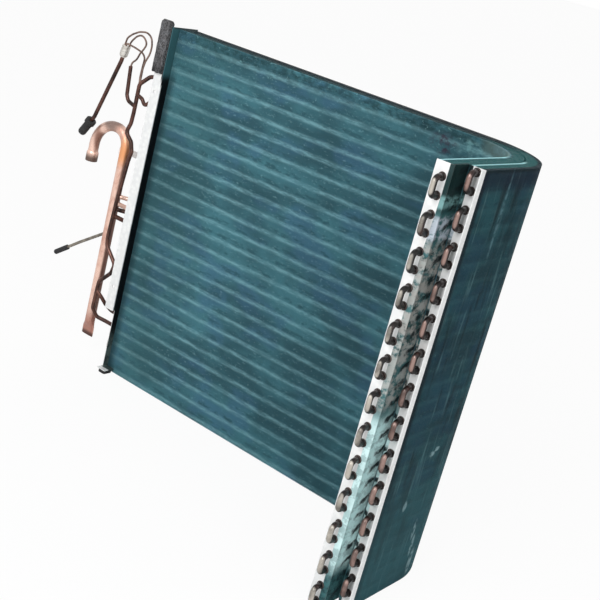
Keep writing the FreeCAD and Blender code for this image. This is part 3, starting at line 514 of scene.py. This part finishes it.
def rubber_finish():
    """Matt black rubber with a dusty bloom."""
    material, tree, shader, place = new_finish("black_rubber", 0.7)
    bloom = ramp(tree, grain(tree, place, (130, 130, 130), 5.0, 0.7), 0.5, 0.8, 0.0, 0.6)
    colour = blend_colours(tree, bloom, (0.012, 0.012, 0.013), (0.07, 0.07, 0.07))
    cover(tree, shader, colour, grain(tree, place, (700, 700, 700), 3.0), 0.0003)
    return material


def foam_finish():
    """Dark grey foam with open cells and pale dust."""
    material, tree, shader, place = new_finish("cellular_foam", 0.9)
    pits = ramp(tree, cells(tree, place, 420.0), 0.1, 0.7)
    colour = blend_colours(tree, pits, (0.02, 0.02, 0.021), (0.11, 0.108, 0.112))
    dust = ramp(tree, grain(tree, place, (110, 110, 90), 4.0, 0.7), 0.46, 0.7, 0.0, 0.6)
    colour = blend_colours(tree, dust, colour, (0.24, 0.25, 0.27))
    _, _, z = coil_axes(tree, place)
    ragged = ramp(tree, grain(tree, place, (150, 150, 60), 3.0, 0.7), 0.4, 0.6, 0.5, 1.0)
    lower_edge = ramp(tree, z, 482.0, 492.0, 1.0, 0.0)
    colour = tint(tree, colour, (0.006, 0.006, 0.007), 0.95, lower_edge, ragged)
    cover(tree, shader, colour, pits, 0.0012, 0.9)
    return material


# Mesh helpers

def add_shape(whole, part, place=None):
    """Put a part's mesh into a whole, moved to its place, and let the part go."""
    if place is not None:
        part.transform(place)
    carrier = bpy.data.meshes.new("carrier")
    part.to_mesh(carrier)
    part.free()
    whole.from_mesh(carrier)
    bpy.data.meshes.remove(carrier)


def new_piece(name, shape, finish, slot, *nodes, sharp=35):
    """Turn a shape in coil millimetres into a piece of the coil that stands for its nodes."""
    shape.transform(TO_ROW)
    mesh = bpy.data.meshes.new(name)
    shape.to_mesh(mesh)
    shape.free()
    mesh.shade_smooth()
    mesh.set_sharp_from_angle(angle=math.radians(sharp))
    mesh.materials.append(finish)
    piece = bpy.data.objects.new(name, mesh)
    bpy.context.collection.objects.link(piece)
    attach(piece, "root")
    if nodes:
        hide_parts(*nodes)
    return piece


def pointing(start, direction):
    """A place whose Z axis points along a direction."""
    turn = Vector(direction).to_track_quat("Z", "Y").to_matrix().to_4x4()
    return Matrix.Translation(start) @ turn


def tube_along(points, radius, bend, sides=12, steps=6, share=0.48):
    """A round tube along straight runs joined by arcs, closed at both ends."""
    points = [Vector(point) for point in points]
    radii = bend if isinstance(bend, tuple) else (bend,) * (len(points) - 2)
    knots = [(points[0], points[0], points[0])]
    for before, corner, after, turn_radius in zip(points, points[1:], points[2:], radii):
        back, ahead = (before - corner), (after - corner)
        half_turned = (math.pi - back.angle(ahead)) / 2
        if half_turned < 0.01:
            continue
        reach = min(turn_radius * math.tan(half_turned), back.length * share, ahead.length * share)
        handle = reach / math.tan(half_turned) * math.tan(half_turned / 2) * 4 / 3
        back.normalize()
        ahead.normalize()
        start, end = corner + back * reach, corner + ahead * reach
        knots.append((start, start, start - back * handle))
        knots.append((end, end - ahead * handle, end))
    knots.append((points[-1], points[-1], points[-1]))
    curve = bpy.data.curves.new("bent_tube", "CURVE")
    curve.dimensions = "3D"
    curve.bevel_depth = radius
    curve.bevel_resolution = (sides - 4) // 2
    curve.resolution_u = steps
    curve.use_fill_caps = True
    spline = curve.splines.new("BEZIER")
    spline.bezier_points.add(len(knots) - 1)
    for knot, (place, left, right) in zip(spline.bezier_points, knots):
        knot.handle_left_type = knot.handle_right_type = "FREE"
        knot.co, knot.handle_left, knot.handle_right = place, left, right
    holder = bpy.data.objects.new("bent_tube", curve)
    mesh = bpy.data.meshes.new_from_object(holder)
    shape = bmesh.new()
    shape.from_mesh(mesh)
    bpy.data.objects.remove(holder)
    bpy.data.curves.remove(curve)
    bpy.data.meshes.remove(mesh)
    bmesh.ops.remove_doubles(shape, verts=shape.verts[:], dist=0.001)
    bmesh.ops.recalc_face_normals(shape, faces=shape.faces[:])
    return shape


def turned(profile, sides=24):
    """A turned form from (radius, height) corners that start and end on the Z axis or meet."""
    shape = bmesh.new()
    corners = [shape.verts.new((radius, 0, height)) for radius, height in profile]
    edges = [shape.edges.new(pair) for pair in zip(corners, corners[1:])]
    if profile[0][0] > 0 and profile[-1][0] > 0:
        edges.append(shape.edges.new((corners[-1], corners[0])))
    bmesh.ops.spin(
        shape, geom=corners + edges, cent=(0, 0, 0), axis=(0, 0, 1), angle=2 * math.pi,
        steps=sides, use_merge=True)
    bmesh.ops.remove_doubles(shape, verts=shape.verts[:], dist=0.0005)
    bmesh.ops.recalc_face_normals(shape, faces=shape.faces[:])
    return shape


def ring_stack(rings, sides=24):
    """A closed form through oval rings given as (centre, half width, half depth)."""
    shape = bmesh.new()
    loops = []
    for centre, wide, deep in rings:
        place = Matrix.Translation(centre) @ Matrix.Diagonal((wide, deep, 1, 1))
        made = bmesh.ops.create_circle(shape, segments=sides, radius=1, matrix=place)
        loops.append({edge for vert in made["verts"] for edge in vert.link_edges})
    for low, high in zip(loops, loops[1:]):
        bmesh.ops.bridge_loops(shape, edges=list(low | high))
    for end in (loops[0], loops[-1]):
        bmesh.ops.contextual_create(shape, geom=list(end))
    bmesh.ops.recalc_face_normals(shape, faces=shape.faces[:])
    return shape


# Fins and the tubes inside them

def fin_blank(inner_side):
    """One fin across the tubes, flat at its edges and folded to a ridge down its middle."""
    shape = bmesh.new()
    middle = inner_side + FIN_DEPTH / 2
    place = Matrix.Translation((0, middle, FIN_HEIGHT / 2))
    place = place @ Matrix.Diagonal((FIN_SHEET, FIN_DEPTH, FIN_HEIGHT, 1))
    bmesh.ops.create_cube(shape, size=1, matrix=place)
    for line in (middle - FOLD_REACH, middle, middle + FOLD_REACH):
        bmesh.ops.bisect_plane(
            shape, geom=shape.verts[:] + shape.edges[:] + shape.faces[:], plane_co=(0, line, 0),
            plane_no=(0, 1, 0))
    for vert in shape.verts:
        if abs(vert.co.y - middle) < 0.01:
            vert.co.x += FIN_FOLD
    blank = bpy.data.meshes.new("fin_blank")
    shape.to_mesh(blank)
    shape.free()
    return blank


def bent_place(travel, row_depth):
    """The place of what stands across a row after so much travel along its tubes."""
    radius = CORNER_RADIUS + row_depth
    arc = radius * math.pi / 2
    turn = min(max(travel - LONG_LEG, 0) / arc, 1) * math.pi / 2
    beyond = max(travel - LONG_LEG - arc, 0)
    about = Matrix.Translation(CORNER) @ Matrix.Rotation(-turn, 4, "Z")
    about = about @ Matrix.Translation(-CORNER)
    along = Matrix.Translation((min(travel, LONG_LEG), 0, 0))
    return Matrix.Translation((0, -beyond, 0)) @ about @ along


def row_length(row_depth, end):
    """Length of a row along its tubes, from the header end round to the short leg's end."""
    return LONG_LEG + (CORNER_RADIUS + row_depth) * math.pi / 2 + end - CORNER_RADIUS


def fins(name, blank, row_depth, first, last, finish, *nodes):
    """A run of fins along one row, each a little out of true as on a handled coil."""
    shape = bmesh.new()
    count = round((last - first) / FIN_PITCH)
    for index in range(count):
        travel = first + (last - first) * (index + 0.5) / count
        drift = noise.noise(Vector((travel * 0.9, row_depth, 0.5))) * FIN_DRIFT
        lean = noise.noise(Vector((travel * 0.045, 0.3, row_depth))) * FIN_LEAN
        lean += noise.noise(Vector((travel * 1.7, 7.3, row_depth))) * FIN_JITTER
        about = Matrix.Translation((0, row_depth, 0))
        twist = about @ Matrix.Rotation(lean, 4, "Z") @ about.inverted()
        made = len(shape.verts)
        shape.from_mesh(blank)
        shape.verts.ensure_lookup_table()
        place = bent_place(travel + drift, row_depth) @ twist
        bmesh.ops.transform(shape, matrix=place, verts=shape.verts[made:])
    return new_piece(name, shape, finish, "fins", *nodes)


def row_tubes(name, row_depth, end, height_of, finish):
    """The straight tubes of one row inside the fins' collars, round the corner to the short leg."""
    whole = bmesh.new()
    corner_out = Vector((CORNER.x + CORNER_RADIUS + row_depth, row_depth, 0))
    points = [Vector((0, row_depth, 0)), corner_out, Vector((corner_out.x, -end, 0))]
    for number in range(TUBES):
        run = tube_along(points, COLLAR_RADIUS, CORNER_RADIUS + row_depth, sides=8, steps=8)
        add_shape(whole, run, Matrix.Translation((0, 0, height_of(number))))
    return new_piece(name, whole, finish, "fins")


# Bends

def half_turn(spread):
    """A half turn that stands on a plate: legs along Z, spread along X."""
    top = BEND_LEAD + spread / 2
    points = [(0, 0, 0), (0, 0, top), (spread, 0, top), (spread, 0, 0)]
    return tube_along(points, TUBE_RADIUS, spread / 2, sides=14, steps=7)


def bends(name, pairs, outward, finish, node):
    """Half turns between pairs of tube ends, all standing out of a plate one way."""
    whole = bmesh.new()
    for low, high in pairs:
        side = high - low
        place = Matrix((side.normalized(), outward.cross(side).normalized(), outward)).transposed()
        add_shape(whole, half_turn(side.length), Matrix.Translation(low) @ place.to_4x4())
    return new_piece(name, whole, finish, "copper", node)


# A pressed rim round a tube hole, and a belled tube end with a braze fillet
COLLAR = [(3.7, 0), (3.7, 1.3), (4.1, 1.4), (4.4, 0.7), (5.2, 0.05), (5.2, 0)]
BRAZE_CUP = [(3.55, 0), (3.55, 3.2), (4.0, 2.6), (4.6, 2.2), (4.3, 0.8), (4.2, 0)]


def end_rings(name, profile, ends, outward, finish, slot):
    """The same turned ring round each of a plate's tube ends."""
    whole = bmesh.new()
    for end in ends:
        add_shape(whole, turned(profile, 16), pointing(end, outward))
    return new_piece(name, whole, finish, slot)


# Pipes at the header end

def route(points):
    """Places from (out, front, level): past the liquid line, before it, and in tubes up."""
    return [
        Vector((-LINE_OUT - out, -LINE_FRONT - front, TUBE_PITCH * level))
        for out, front, level in points]


def plate_end(number, lead):
    """A straight lead of pipe out of a tube of the inner row, plate end first."""
    height = inner_tube(number)
    return [Vector((-PLATE, INNER_ROW, height)), Vector((-lead, INNER_ROW, height))]


LIQUID_BENDS = route([
    (-11, -8, 22.10), (0, 0, 21.40), (0, 0, 19.30), (1, 0, 18.50), (7, 0, 17.76),
    (-7, 0, 17.24), (-12, 0, 16.57), (-9, 0, 15.80), (-3, 0, 12.70), (0, 0, 9.86),
    (-2, 0, 9.14), (-26, 0, 8.05), (-22, 0, 7.29), (-1, 0, 6.24), (0, 0, 5.50),
    (1, 0, 4.05), (-5, -6, 3.40)])
UPPER_BRANCH = route([
    (0, 0, 20.62), (-11, 0, 20.48), (-18, 0, 20.10), (-25, 0, 20.29), (-28, -6, 20.86)])
LOWER_BRANCH = route([(0, 0, 5.50), (-10, -3, 5.10), (-16, -9, 4.60)])
DROP_TUBE = route([(25, 0, 22.38), (23, 0, 21.38), (21, 0, 20.33), (16, 0, 19.95), (0, 0, 19.76)])
INLET_LEAD = 6.5
INLET_BENDS = route([(55, 0, 21.24), (79, 0, 17.86), (84, 0, 17.50)])
PROCESS_BENDS = route([(84.8, -28.5, 7.75), (109.1, -28.5, 6.91)])
PROCESS_LEVEL = 207.7
PROCESS_SEAT = 7.3
CAP_DEPTH = 14.0
FAR_CAPILLARY = route([
    (43, 0, 24.20), (34, 0, 24.57), (21, 0, 24.90), (6, 0, 25.05), (-5, 0, 24.81), (-9, 0, 24.24),
    (-8, 0, 23.67), (-2, 0, 23.05), (0, 0, 22.57), (0, 0, 21.30)])
MIDDLE_CAPILLARY = route([
    (29, 4, 24.14), (21, 4, 24.57), (12, 4, 24.76), (4, 4, 24.62), (-2, 4, 24.29), (2, 4, 23.90),
    (8, 4, 23.48), (13, 3, 22.98), (23, 1, 22.66), (25, 0, 22.20)])
NEAR_CAPILLARY = route([
    (24, -4, 23.67), (10, -4, 23.52), (4, -4, 23.24), (5, -4, 22.67), (4, -2, 21.90),
    (0, 0, 21.00)])
DISTRIBUTOR_FOOT = route([(45, 0, 22.79)])[0]
DISTRIBUTOR_LEAN = Vector((0.2, 0, 1)).normalized()
DISTRIBUTOR_LENGTH = 19.0
CAPILLARY_SPREAD = 4.0


def pipe_piece(name, points, radius, bend, finish, node):
    """One bent pipe as a piece of its own."""
    return new_piece(name, tube_along(points, radius, bend), finish, "copper", node)


def capillary(name, turn, bends_after, finish, node):
    """A thin tube out of the distributor's upper face."""
    side = Matrix.Rotation(math.radians(turn), 3, DISTRIBUTOR_LEAN)
    side = side @ Vector((1, 0, -0.2)).normalized()
    start = DISTRIBUTOR_FOOT + DISTRIBUTOR_LEAN * DISTRIBUTOR_LENGTH + side * CAPILLARY_SPREAD
    points = [start, start + DISTRIBUTOR_LEAN * CAPILLARY_SPREAD] + bends_after
    return pipe_piece(name, points, CAPILLARY_RADIUS, CAPILLARY_BEND, finish, node)


def gas_header(finish):
    """Collecting tube with a pinched foot, an arch on top and an open swaged socket."""
    whole = bmesh.new()
    axis = Vector((-HEADER_OUT, INNER_ROW, 0))
    up = Vector((0, 0, 1))
    foot, pinch_top, round_start, tube = 31.0, 44.0, 56.0, 8.0
    ovals = [(foot, 12.3, 1.5), (pinch_top - 2, 12.5, 1.6), (pinch_top + 2, 12.2, 2.4),
             (49, 10.6, 4.8), (53, 8.8, 7.0), (round_start, tube, tube)]
    rings = [(axis + up * height, wide, deep) for height, wide, deep in ovals]
    add_shape(whole, ring_stack(rings, 28))
    arch_top, span, near_bend, far_bend = 370.0, 67.0, 25.0, 40.0
    mouth, socket_length = 303.0, 16.5
    open_arm = axis - Vector((span, 0, 0))
    crown = axis + up * arch_top - Vector((near_bend + 1, 0, 0))
    points = [
        axis + up * round_start, axis + up * arch_top, crown, open_arm + up * arch_top,
        open_arm + up * (mouth + socket_length - 1)]
    add_shape(whole, tube_along(
        points, tube, (near_bend, far_bend, far_bend), sides=24, steps=10, share=0.98))
    socket = [
        (0, 14), (8.0, 14), (8.0, 0.6), (8.4, 0), (9.1, 0), (9.5, 0.6), (9.5, 13), (8.6, 15.6),
        (tube, socket_length), (0, socket_length)]
    add_shape(whole, turned(socket, 32), Matrix.Translation(open_arm + up * mouth))
    return new_piece("copper_header", whole, finish, "copper", "gas_header")


def rubber_cap(name, mouth, direction, bore, radius, length, collar, finish, node):
    """A moulded cap with a thick rim at its mouth and a domed end, drawn over a pipe's end."""
    rim = 8.0 if collar > radius else 2.0
    profile = [
        (0, CAP_DEPTH), (bore, CAP_DEPTH), (bore, 0.6), (bore + 0.6, 0), (collar - 0.7, 0),
        (collar, 0.7), (collar, rim - 0.7), (collar - 0.7, rim), (radius - 0.4, rim + 0.5),
        (radius, rim + 2), (radius, length - radius * 0.6),
        (radius * 0.85, length - radius * 0.25), (radius * 0.5, length - radius * 0.05),
        (0, length)]
    shape = turned(profile, 24)
    shape.transform(pointing(mouth, direction))
    return new_piece(name, shape, finish, "rubber", node)


def capped_pipe(
        name, node, points, radius, pipe_paint, cap_paint, seat, cap_radius, cap_length, collar):
    """A pipe whose last run goes on into a rubber cap."""
    direction = (points[-1] - points[-2]).normalized()
    mouth = points[-1] - direction * seat
    run = points[:-1] + [mouth + direction * CAP_DEPTH]
    pipe_piece(name + "_run", run, radius, PIPE_BEND, pipe_paint, node)
    rubber_cap(
        name + "_rubber_cap", mouth, direction, radius + 0.1, cap_radius, cap_length, collar,
        cap_paint, name + "_cap")


# Foam and foot

def foam_pad(finish):
    """Foam over the flange's upper end, its skin torn and pitted."""
    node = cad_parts["seal_pad"]
    shape = bmesh.new()
    shape.from_mesh(node.data)
    bmesh.ops.remove_doubles(shape, verts=shape.verts[:], dist=1e-6)
    mesh = bpy.data.meshes.new("foam_blank")
    shape.to_mesh(mesh)
    shape.free()
    blank = bpy.data.objects.new("foam_blank", mesh)
    bpy.context.collection.objects.link(blank)
    remesh = blank.modifiers.new("even_skin", "REMESH")
    remesh.mode = "VOXEL"
    remesh.voxel_size = FOAM_GRID * MM
    bpy.context.view_layer.update()
    finished = blank.evaluated_get(bpy.context.evaluated_depsgraph_get())
    skin = bpy.data.meshes.new_from_object(finished)
    bpy.data.objects.remove(blank)
    shape = bmesh.new()
    shape.from_mesh(skin)
    shape.normal_update()
    for _ in range(FOAM_SMOOTHING):
        bmesh.ops.smooth_vert(
            shape, verts=shape.verts[:], factor=0.5, use_axis_x=True, use_axis_y=True,
            use_axis_z=True)
    low = min(vert.co.z for vert in shape.verts)
    shape.normal_update()
    for vert in shape.verts:
        place = vert.co / MM
        dent = 0.5 + 0.5 * noise.noise(place * 0.16)
        pit = max(noise.noise(place * 0.7), 0)
        vert.co -= vert.normal * (dent * FOAM_DENT + pit * FOAM_PIT) * MM
        near_foot = max(1 - (vert.co.z - low) / (FOAM_FRAYED_HEIGHT * MM), 0)
        fray = 1 + noise.noise(Vector((place.x, place.y, 0)) * 0.45)
        vert.co.z += near_foot * fray * FOAM_FRAY * MM
    shape.transform(TO_ROW.inverted())
    return new_piece("foam_seal", shape, finish, "foam", "seal_pad", sharp=180)


def rubber_foot(finish):
    """Moulded foot with rounded edges."""
    low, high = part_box("foot_pad")
    low, high = TO_ROW.inverted() @ low, TO_ROW.inverted() @ high
    size, middle = high - low, (low + high) / 2
    shape = bmesh.new()
    place = Matrix.Translation(middle) @ Matrix.Diagonal((*size, 1))
    bmesh.ops.create_cube(shape, size=1, matrix=place)
    upright = [edge for edge in shape.edges if abs(edge.verts[0].co.z - edge.verts[1].co.z) > 1]
    bmesh.ops.bevel(
        shape, geom=upright, offset=3, segments=5, affect="EDGES", profile=0.5, material=-1)
    rims = [edge for edge in shape.edges if abs(edge.verts[0].co.z - edge.verts[1].co.z) < 0.01]
    bmesh.ops.bevel(
        shape, geom=rims, offset=0.6, segments=2, affect="EDGES", profile=0.5, material=-1)
    return new_piece("rubber_foot", shape, finish, "rubber", "foot_pad")


# The coil

fin_inner = slab_finish("fin_stock_inner", inner_slab_colour)
fin_outer = slab_finish("fin_stock_outer", outer_slab_colour)
# Marks on the header: bright and dark heat marks on its arch, a dark mouth, a band of painted shade
# down its side toward the fins, and its burnt foot
header_marks = [
    ((-65, 9.5, 338), (15, 15, 34), (0.88, 0.36, 0.12)),
    ((-98, 9.5, 373), (26, 16, 16), (0.2, 0.14, 0.12)),
    ((-122, 9.5, 345), (11, 13, 34), (0.22, 0.09, 0.06)),
    ((-132, 9.5, 300), (30, 30, 20), (0.025, 0.013, 0.01)),
    # Painted shade down the header's side toward the fins
    ((-56.5, 9.5, 200), (4.5, 12, 230), (0.14, 0.055, 0.04)),
    ((-65, 9.5, 46), (18, 14, 46), (0.4, 0.17, 0.13)),
    ((-65, 9.5, 28), (40, 30, 13), (0.05, 0.025, 0.02))]
copper = copper_finish(
    "header_copper", (0.93, 0.64, 0.53), (0.6, 0.32, 0.24), 0.42, 0.6, 0.34, marks=header_marks)
pale_copper = copper_finish("pale_copper", (0.9, 0.64, 0.54), (0.66, 0.4, 0.31), 0.45, 0.6, 0.34)
brown_copper = copper_finish(
    "tarnished_copper", (0.15, 0.064, 0.046), (0.022, 0.011, 0.009), 0.52, 0.5, 0.34)
inner_hairpin_copper = copper_finish(
    "darkened_inner_bends", (0.05, 0.026, 0.022), (0.004, 0.003, 0.003), 0.6, 0.3, 0.28,
    highlight=(-INNER_END - INNER_HIGHLIGHT, (0.52, 0.48, 0.42)))
outer_hairpin_copper = copper_finish(
    "darkened_outer_bends", (0.07, 0.032, 0.026), (0.005, 0.003, 0.003), 0.6, 0.3, 0.28,
    highlight=(-OUTER_END - OUTER_HIGHLIGHT, (0.34, 0.22, 0.19)))
capillary_copper = copper_finish(
    "capillary_copper", (0.3, 0.2, 0.16), (0.07, 0.045, 0.038), 0.5, 0.5, 0.36)
dull_tube = plain_finish("dull_service_tube", (0.12, 0.1, 0.08), (0.3, 0.27, 0.22), 60, 0.45)
# Painted shade: near-black collars stand for the shade inside the hairpins' tube holes
mottled_shade = plain_finish("painted_shade_rims", (0.012, 0.009, 0.009), (0.07, 0.05, 0.045), 240, 0.6)
galvanised = galvanised_finish("galvanised_sheet")
lip_sheet = galvanised_finish("galvanised_sheet_dark_lip", lip_marks)
inner_plate_sheet = galvanised_finish("galvanised_inner_plate", inner_plate_marks)
outer_plate_sheet = galvanised_finish("galvanised_outer_plate", outer_plate_marks)
brass = turned_finish()
rubber = rubber_finish()
foam = foam_finish()

for name, inner_side, row_depth, end, finish in (
        ("inner", 0, INNER_ROW, INNER_END, fin_inner),
        ("outer", ROW_SPACING, OUTER_ROW, OUTER_END, fin_outer)):
    blank = fin_blank(inner_side)
    pack = name + "_fin_pack"
    last = row_length(row_depth, end) - FIN_MARGIN
    fins(name + "_fins_long_leg", blank, row_depth, FIN_MARGIN, LONG_LEG, finish, pack)
    fins(name + "_fins_short_leg", blank, row_depth, LONG_LEG, last, finish, pack)
row_tubes("inner_collared_tubes", INNER_ROW, INNER_END, inner_tube, fin_inner)
row_tubes("outer_collared_tubes", OUTER_ROW, OUTER_END, outer_tube, fin_outer)

short_leg_out = Vector((0, -1, 0))
header_end_out = Vector((-1, 0, 0))
for name, row_depth, end, height_of, hairpin_copper in (
        ("inner", INNER_ROW, INNER_END, inner_tube, inner_hairpin_copper),
        ("outer", OUTER_ROW, OUTER_END, outer_tube, outer_hairpin_copper)):
    row_x = CORNER.x + CORNER_RADIUS + row_depth
    ends = [Vector((row_x, -end - PLATE, height_of(number))) for number in range(TUBES)]
    bends(
        name + "_hairpins", list(zip(ends[0::2], ends[1::2])), short_leg_out, hairpin_copper,
        name + "_hairpin_bends")
    # Collars in painted shade round the hairpins' legs
    end_rings(name + "_plate_collars", COLLAR, ends, short_leg_out, mottled_shade, "galvanised")
    starts = [Vector((-PLATE, row_depth, height_of(number))) for number in range(TUBES)]
    pairs = [
        pair for gap, pair in enumerate(zip(starts[1::2], starts[2::2]))
        if gap not in FED_GAPS[name]]
    bends(name + "_returns", pairs, header_end_out, brown_copper, name + "_return_bends")
    end_rings(
        name + "_header_collars", COLLAR, starts, header_end_out, galvanised, "galvanised")
    cup_ends = [start for pair in pairs for start in pair]
    end_rings(
        name + "_braze_cups", BRAZE_CUP, cup_ends, header_end_out, brown_copper, "copper")
crossings = [
    (Vector((-PLATE, INNER_ROW, inner_tube(number))),
     Vector((-PLATE, OUTER_ROW, outer_tube(number))))
    for number in (0, TUBES - 1)]
bends("crossovers", crossings, header_end_out, brown_copper, "crossover_bends")

gas_header(copper)
header_axis = Vector((-HEADER_OUT, INNER_ROW, 0))
for row, row_depth, height_of in (
        ("inner", INNER_ROW, inner_tube), ("outer", OUTER_ROW, outer_tube)):
    for rank, number, paint in (("low", 11, brown_copper), ("high", 12, pale_copper)):
        level = Vector((0, 0, height_of(number)))
        points = [level + Vector((-PLATE, row_depth, 0))]
        if row_depth > INNER_ROW:
            points.append(level + Vector((-HEADER_OUT * STUB_TURN, row_depth, 0)))
        toward = (level + header_axis - points[-1]).normalized()
        points.append(level + header_axis - toward * HEADER_SEAT)
        name = f"stub_{row}_{rank}"
        pipe_piece(name, points, TUBE_RADIUS, STUB_BEND, paint, "gas_" + name)

liquid_top = plate_end(22, lead=21.6)
liquid_bottom = plate_end(3, lead=30.0)
pipe_piece(
    "liquid_pipe", liquid_top + LIQUID_BENDS + liquid_bottom[::-1], LINE_RADIUS, PIPE_BEND,
    brown_copper, "liquid_line")
pipe_piece(
    "upper_branch", UPPER_BRANCH + plate_end(21, lead=15.6)[::-1], BRANCH_RADIUS, BRANCH_BEND,
    brown_copper, "liquid_branch_upper")
pipe_piece(
    "lower_branch", LOWER_BRANCH + plate_end(4, lead=24.0)[::-1], BRANCH_RADIUS, BRANCH_BEND,
    brown_copper, "liquid_branch_lower")
pipe_piece("side_tube", DROP_TUBE, BRANCH_RADIUS, DROP_BEND, brown_copper, "drop_tube")
for name, turn, bends_after, node in (
        ("far_capillary", 180, FAR_CAPILLARY, "capillary_a"),
        ("middle_capillary", 60, MIDDLE_CAPILLARY, "capillary_b"),
        ("near_capillary", -60, NEAR_CAPILLARY, "capillary_c")):
    capillary(name, turn, bends_after, capillary_copper, node)
sleeve = turned([
    (0, 0), (4.2, 0), (6.1, 2.6), (6.4, 3.4), (6.4, 14), (6.0, 14.4), (6.0, 15.4), (6.4, 15.8),
    (6.4, 18.4), (5.9, 19), (0, 19)], 28)
sleeve.transform(pointing(DISTRIBUTOR_FOOT, DISTRIBUTOR_LEAN))
new_piece("distributor_sleeve", sleeve, brass, "distributor", "distributor")
inlet_start = [DISTRIBUTOR_FOOT, DISTRIBUTOR_FOOT - DISTRIBUTOR_LEAN * INLET_LEAD]
capped_pipe(
    "inlet", "inlet_pipe", inlet_start + INLET_BENDS, LINE_RADIUS, brown_copper, rubber,
    seat=1.0, cap_radius=6.5, cap_length=32.0, collar=8.5)
joint = header_axis + Vector((0, 0, PROCESS_LEVEL))
process_start = joint + (PROCESS_BENDS[0] - joint).normalized() * PROCESS_SEAT
capped_pipe(
    "process", "process_tube", [process_start] + PROCESS_BENDS, PROCESS_RADIUS, dull_tube,
    rubber, seat=0.0, cap_radius=4.2, cap_length=33.0, collar=4.2)

foam_pad(foam)
rubber_foot(rubber)
for node, sheet in (
        ("inner_end_plate", inner_plate_sheet), ("outer_end_plate", outer_plate_sheet),
        ("header_clip", galvanised), ("header_end_plate", lip_sheet)):
    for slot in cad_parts[node].material_slots:
        slot.material = sheet


# Camera, light and floor

def aim_camera():
    """The photograph's view: a tilted camera in front of the short leg, above the coil."""
    position = TO_ROW @ Vector((1162.0, -1291.6, 751.7))
    target = TO_ROW @ Vector((321.9, 0, 251.7))
    roll = math.radians(14.96)
    ahead = (target - position).normalized()
    right = ahead.cross(Vector((0, 0, 1))).normalized()
    above = right.cross(ahead)
    across = right * math.cos(roll) + above * math.sin(roll)
    upward = above * math.cos(roll) - right * math.sin(roll)
    lens = bpy.data.cameras.new("photo_camera")
    lens.lens = 70.22
    lens.sensor_width = 36
    camera = bpy.data.objects.new("photo_camera", lens)
    turn = Matrix((across, upward, -ahead)).transposed().to_4x4()
    camera.matrix_world = Matrix.Translation(position) @ turn
    bpy.context.collection.objects.link(camera)
    bpy.context.scene.camera = camera


def area_light(name, position, target, size, power):
    """A soft lamp that points at the coil."""
    light = bpy.data.lights.new(name, "AREA")
    light.size = size
    light.energy = power
    lamp = bpy.data.objects.new(name, light)
    direction = Vector(target) - Vector(position)
    turn = direction.to_track_quat("-Z", "Y").to_matrix().to_4x4()
    lamp.matrix_world = Matrix.Translation(position) @ turn
    bpy.context.collection.objects.link(lamp)


def white_where_seen(tree, plain, target):
    """White for the camera and for mirrors, and the plain light for everything else."""
    path = tree.nodes.new("ShaderNodeLightPath")
    seen = math_node(tree, "MAXIMUM", path.outputs["Is Camera Ray"], path.outputs["Is Glossy Ray"])
    seen = math_node(tree, "MAXIMUM", seen, path.outputs["Is Transmission Ray"])
    node = tree.nodes.new("ShaderNodeMix")
    tree.links.new(seen, node.inputs["Factor"])
    for socket, value in zip(MIX_NUMBERS, (plain, 1.0)):
        node.inputs[socket].default_value = value
    tree.links.new(node.outputs[0], target)


def light_studio():
    """Plain soft light with the key from the front, and a white surround."""
    world = bpy.data.worlds.new("studio")
    world.use_nodes = True
    background = world.node_tree.nodes["Background"]
    background.inputs["Color"].default_value = (1, 1, 1, 1)
    white_where_seen(world.node_tree, 0.55, background.inputs["Strength"])
    bpy.context.scene.world = world
    area_light("key_lamp", (0.3, -2.2, 1.7), (0.0, 0.0, 0.25), 1.2, 36)
    area_light("side_lamp", (2.2, -0.9, 1.1), (0.2, 0.0, 0.25), 1.2, 10)


def lay_floor():
    """Pale floor that keeps the coil's shadow."""
    shape = bmesh.new()
    bmesh.ops.create_grid(shape, x_segments=1, y_segments=1, size=40)
    mesh = bpy.data.meshes.new("studio_floor")
    shape.to_mesh(mesh)
    shape.free()
    floor = bpy.data.objects.new("studio_floor", mesh)
    bpy.context.collection.objects.link(floor)
    material = bpy.data.materials.new("pale_floor")
    material.use_nodes = True
    tree = material.node_tree
    shader = tree.nodes["Principled BSDF"]
    shader.inputs["Base Color"].default_value = (0.93, 0.93, 0.93, 1)
    shader.inputs["Roughness"].default_value = 0.9
    glow = tree.nodes.new("ShaderNodeEmission")
    path = tree.nodes.new("ShaderNodeLightPath")
    mix = tree.nodes.new("ShaderNodeMixShader")
    tree.links.new(math_node(tree, "MULTIPLY", path.outputs["Is Camera Ray"], 0.93), mix.inputs[0])
    tree.links.new(shader.outputs[0], mix.inputs[1])
    tree.links.new(glow.outputs[0], mix.inputs[2])
    tree.links.new(mix.outputs[0], tree.nodes["Material Output"].inputs["Surface"])
    mesh.materials.append(material)


aim_camera()
light_studio()
lay_floor()
bpy.context.scene.view_settings.view_transform = "Standard"
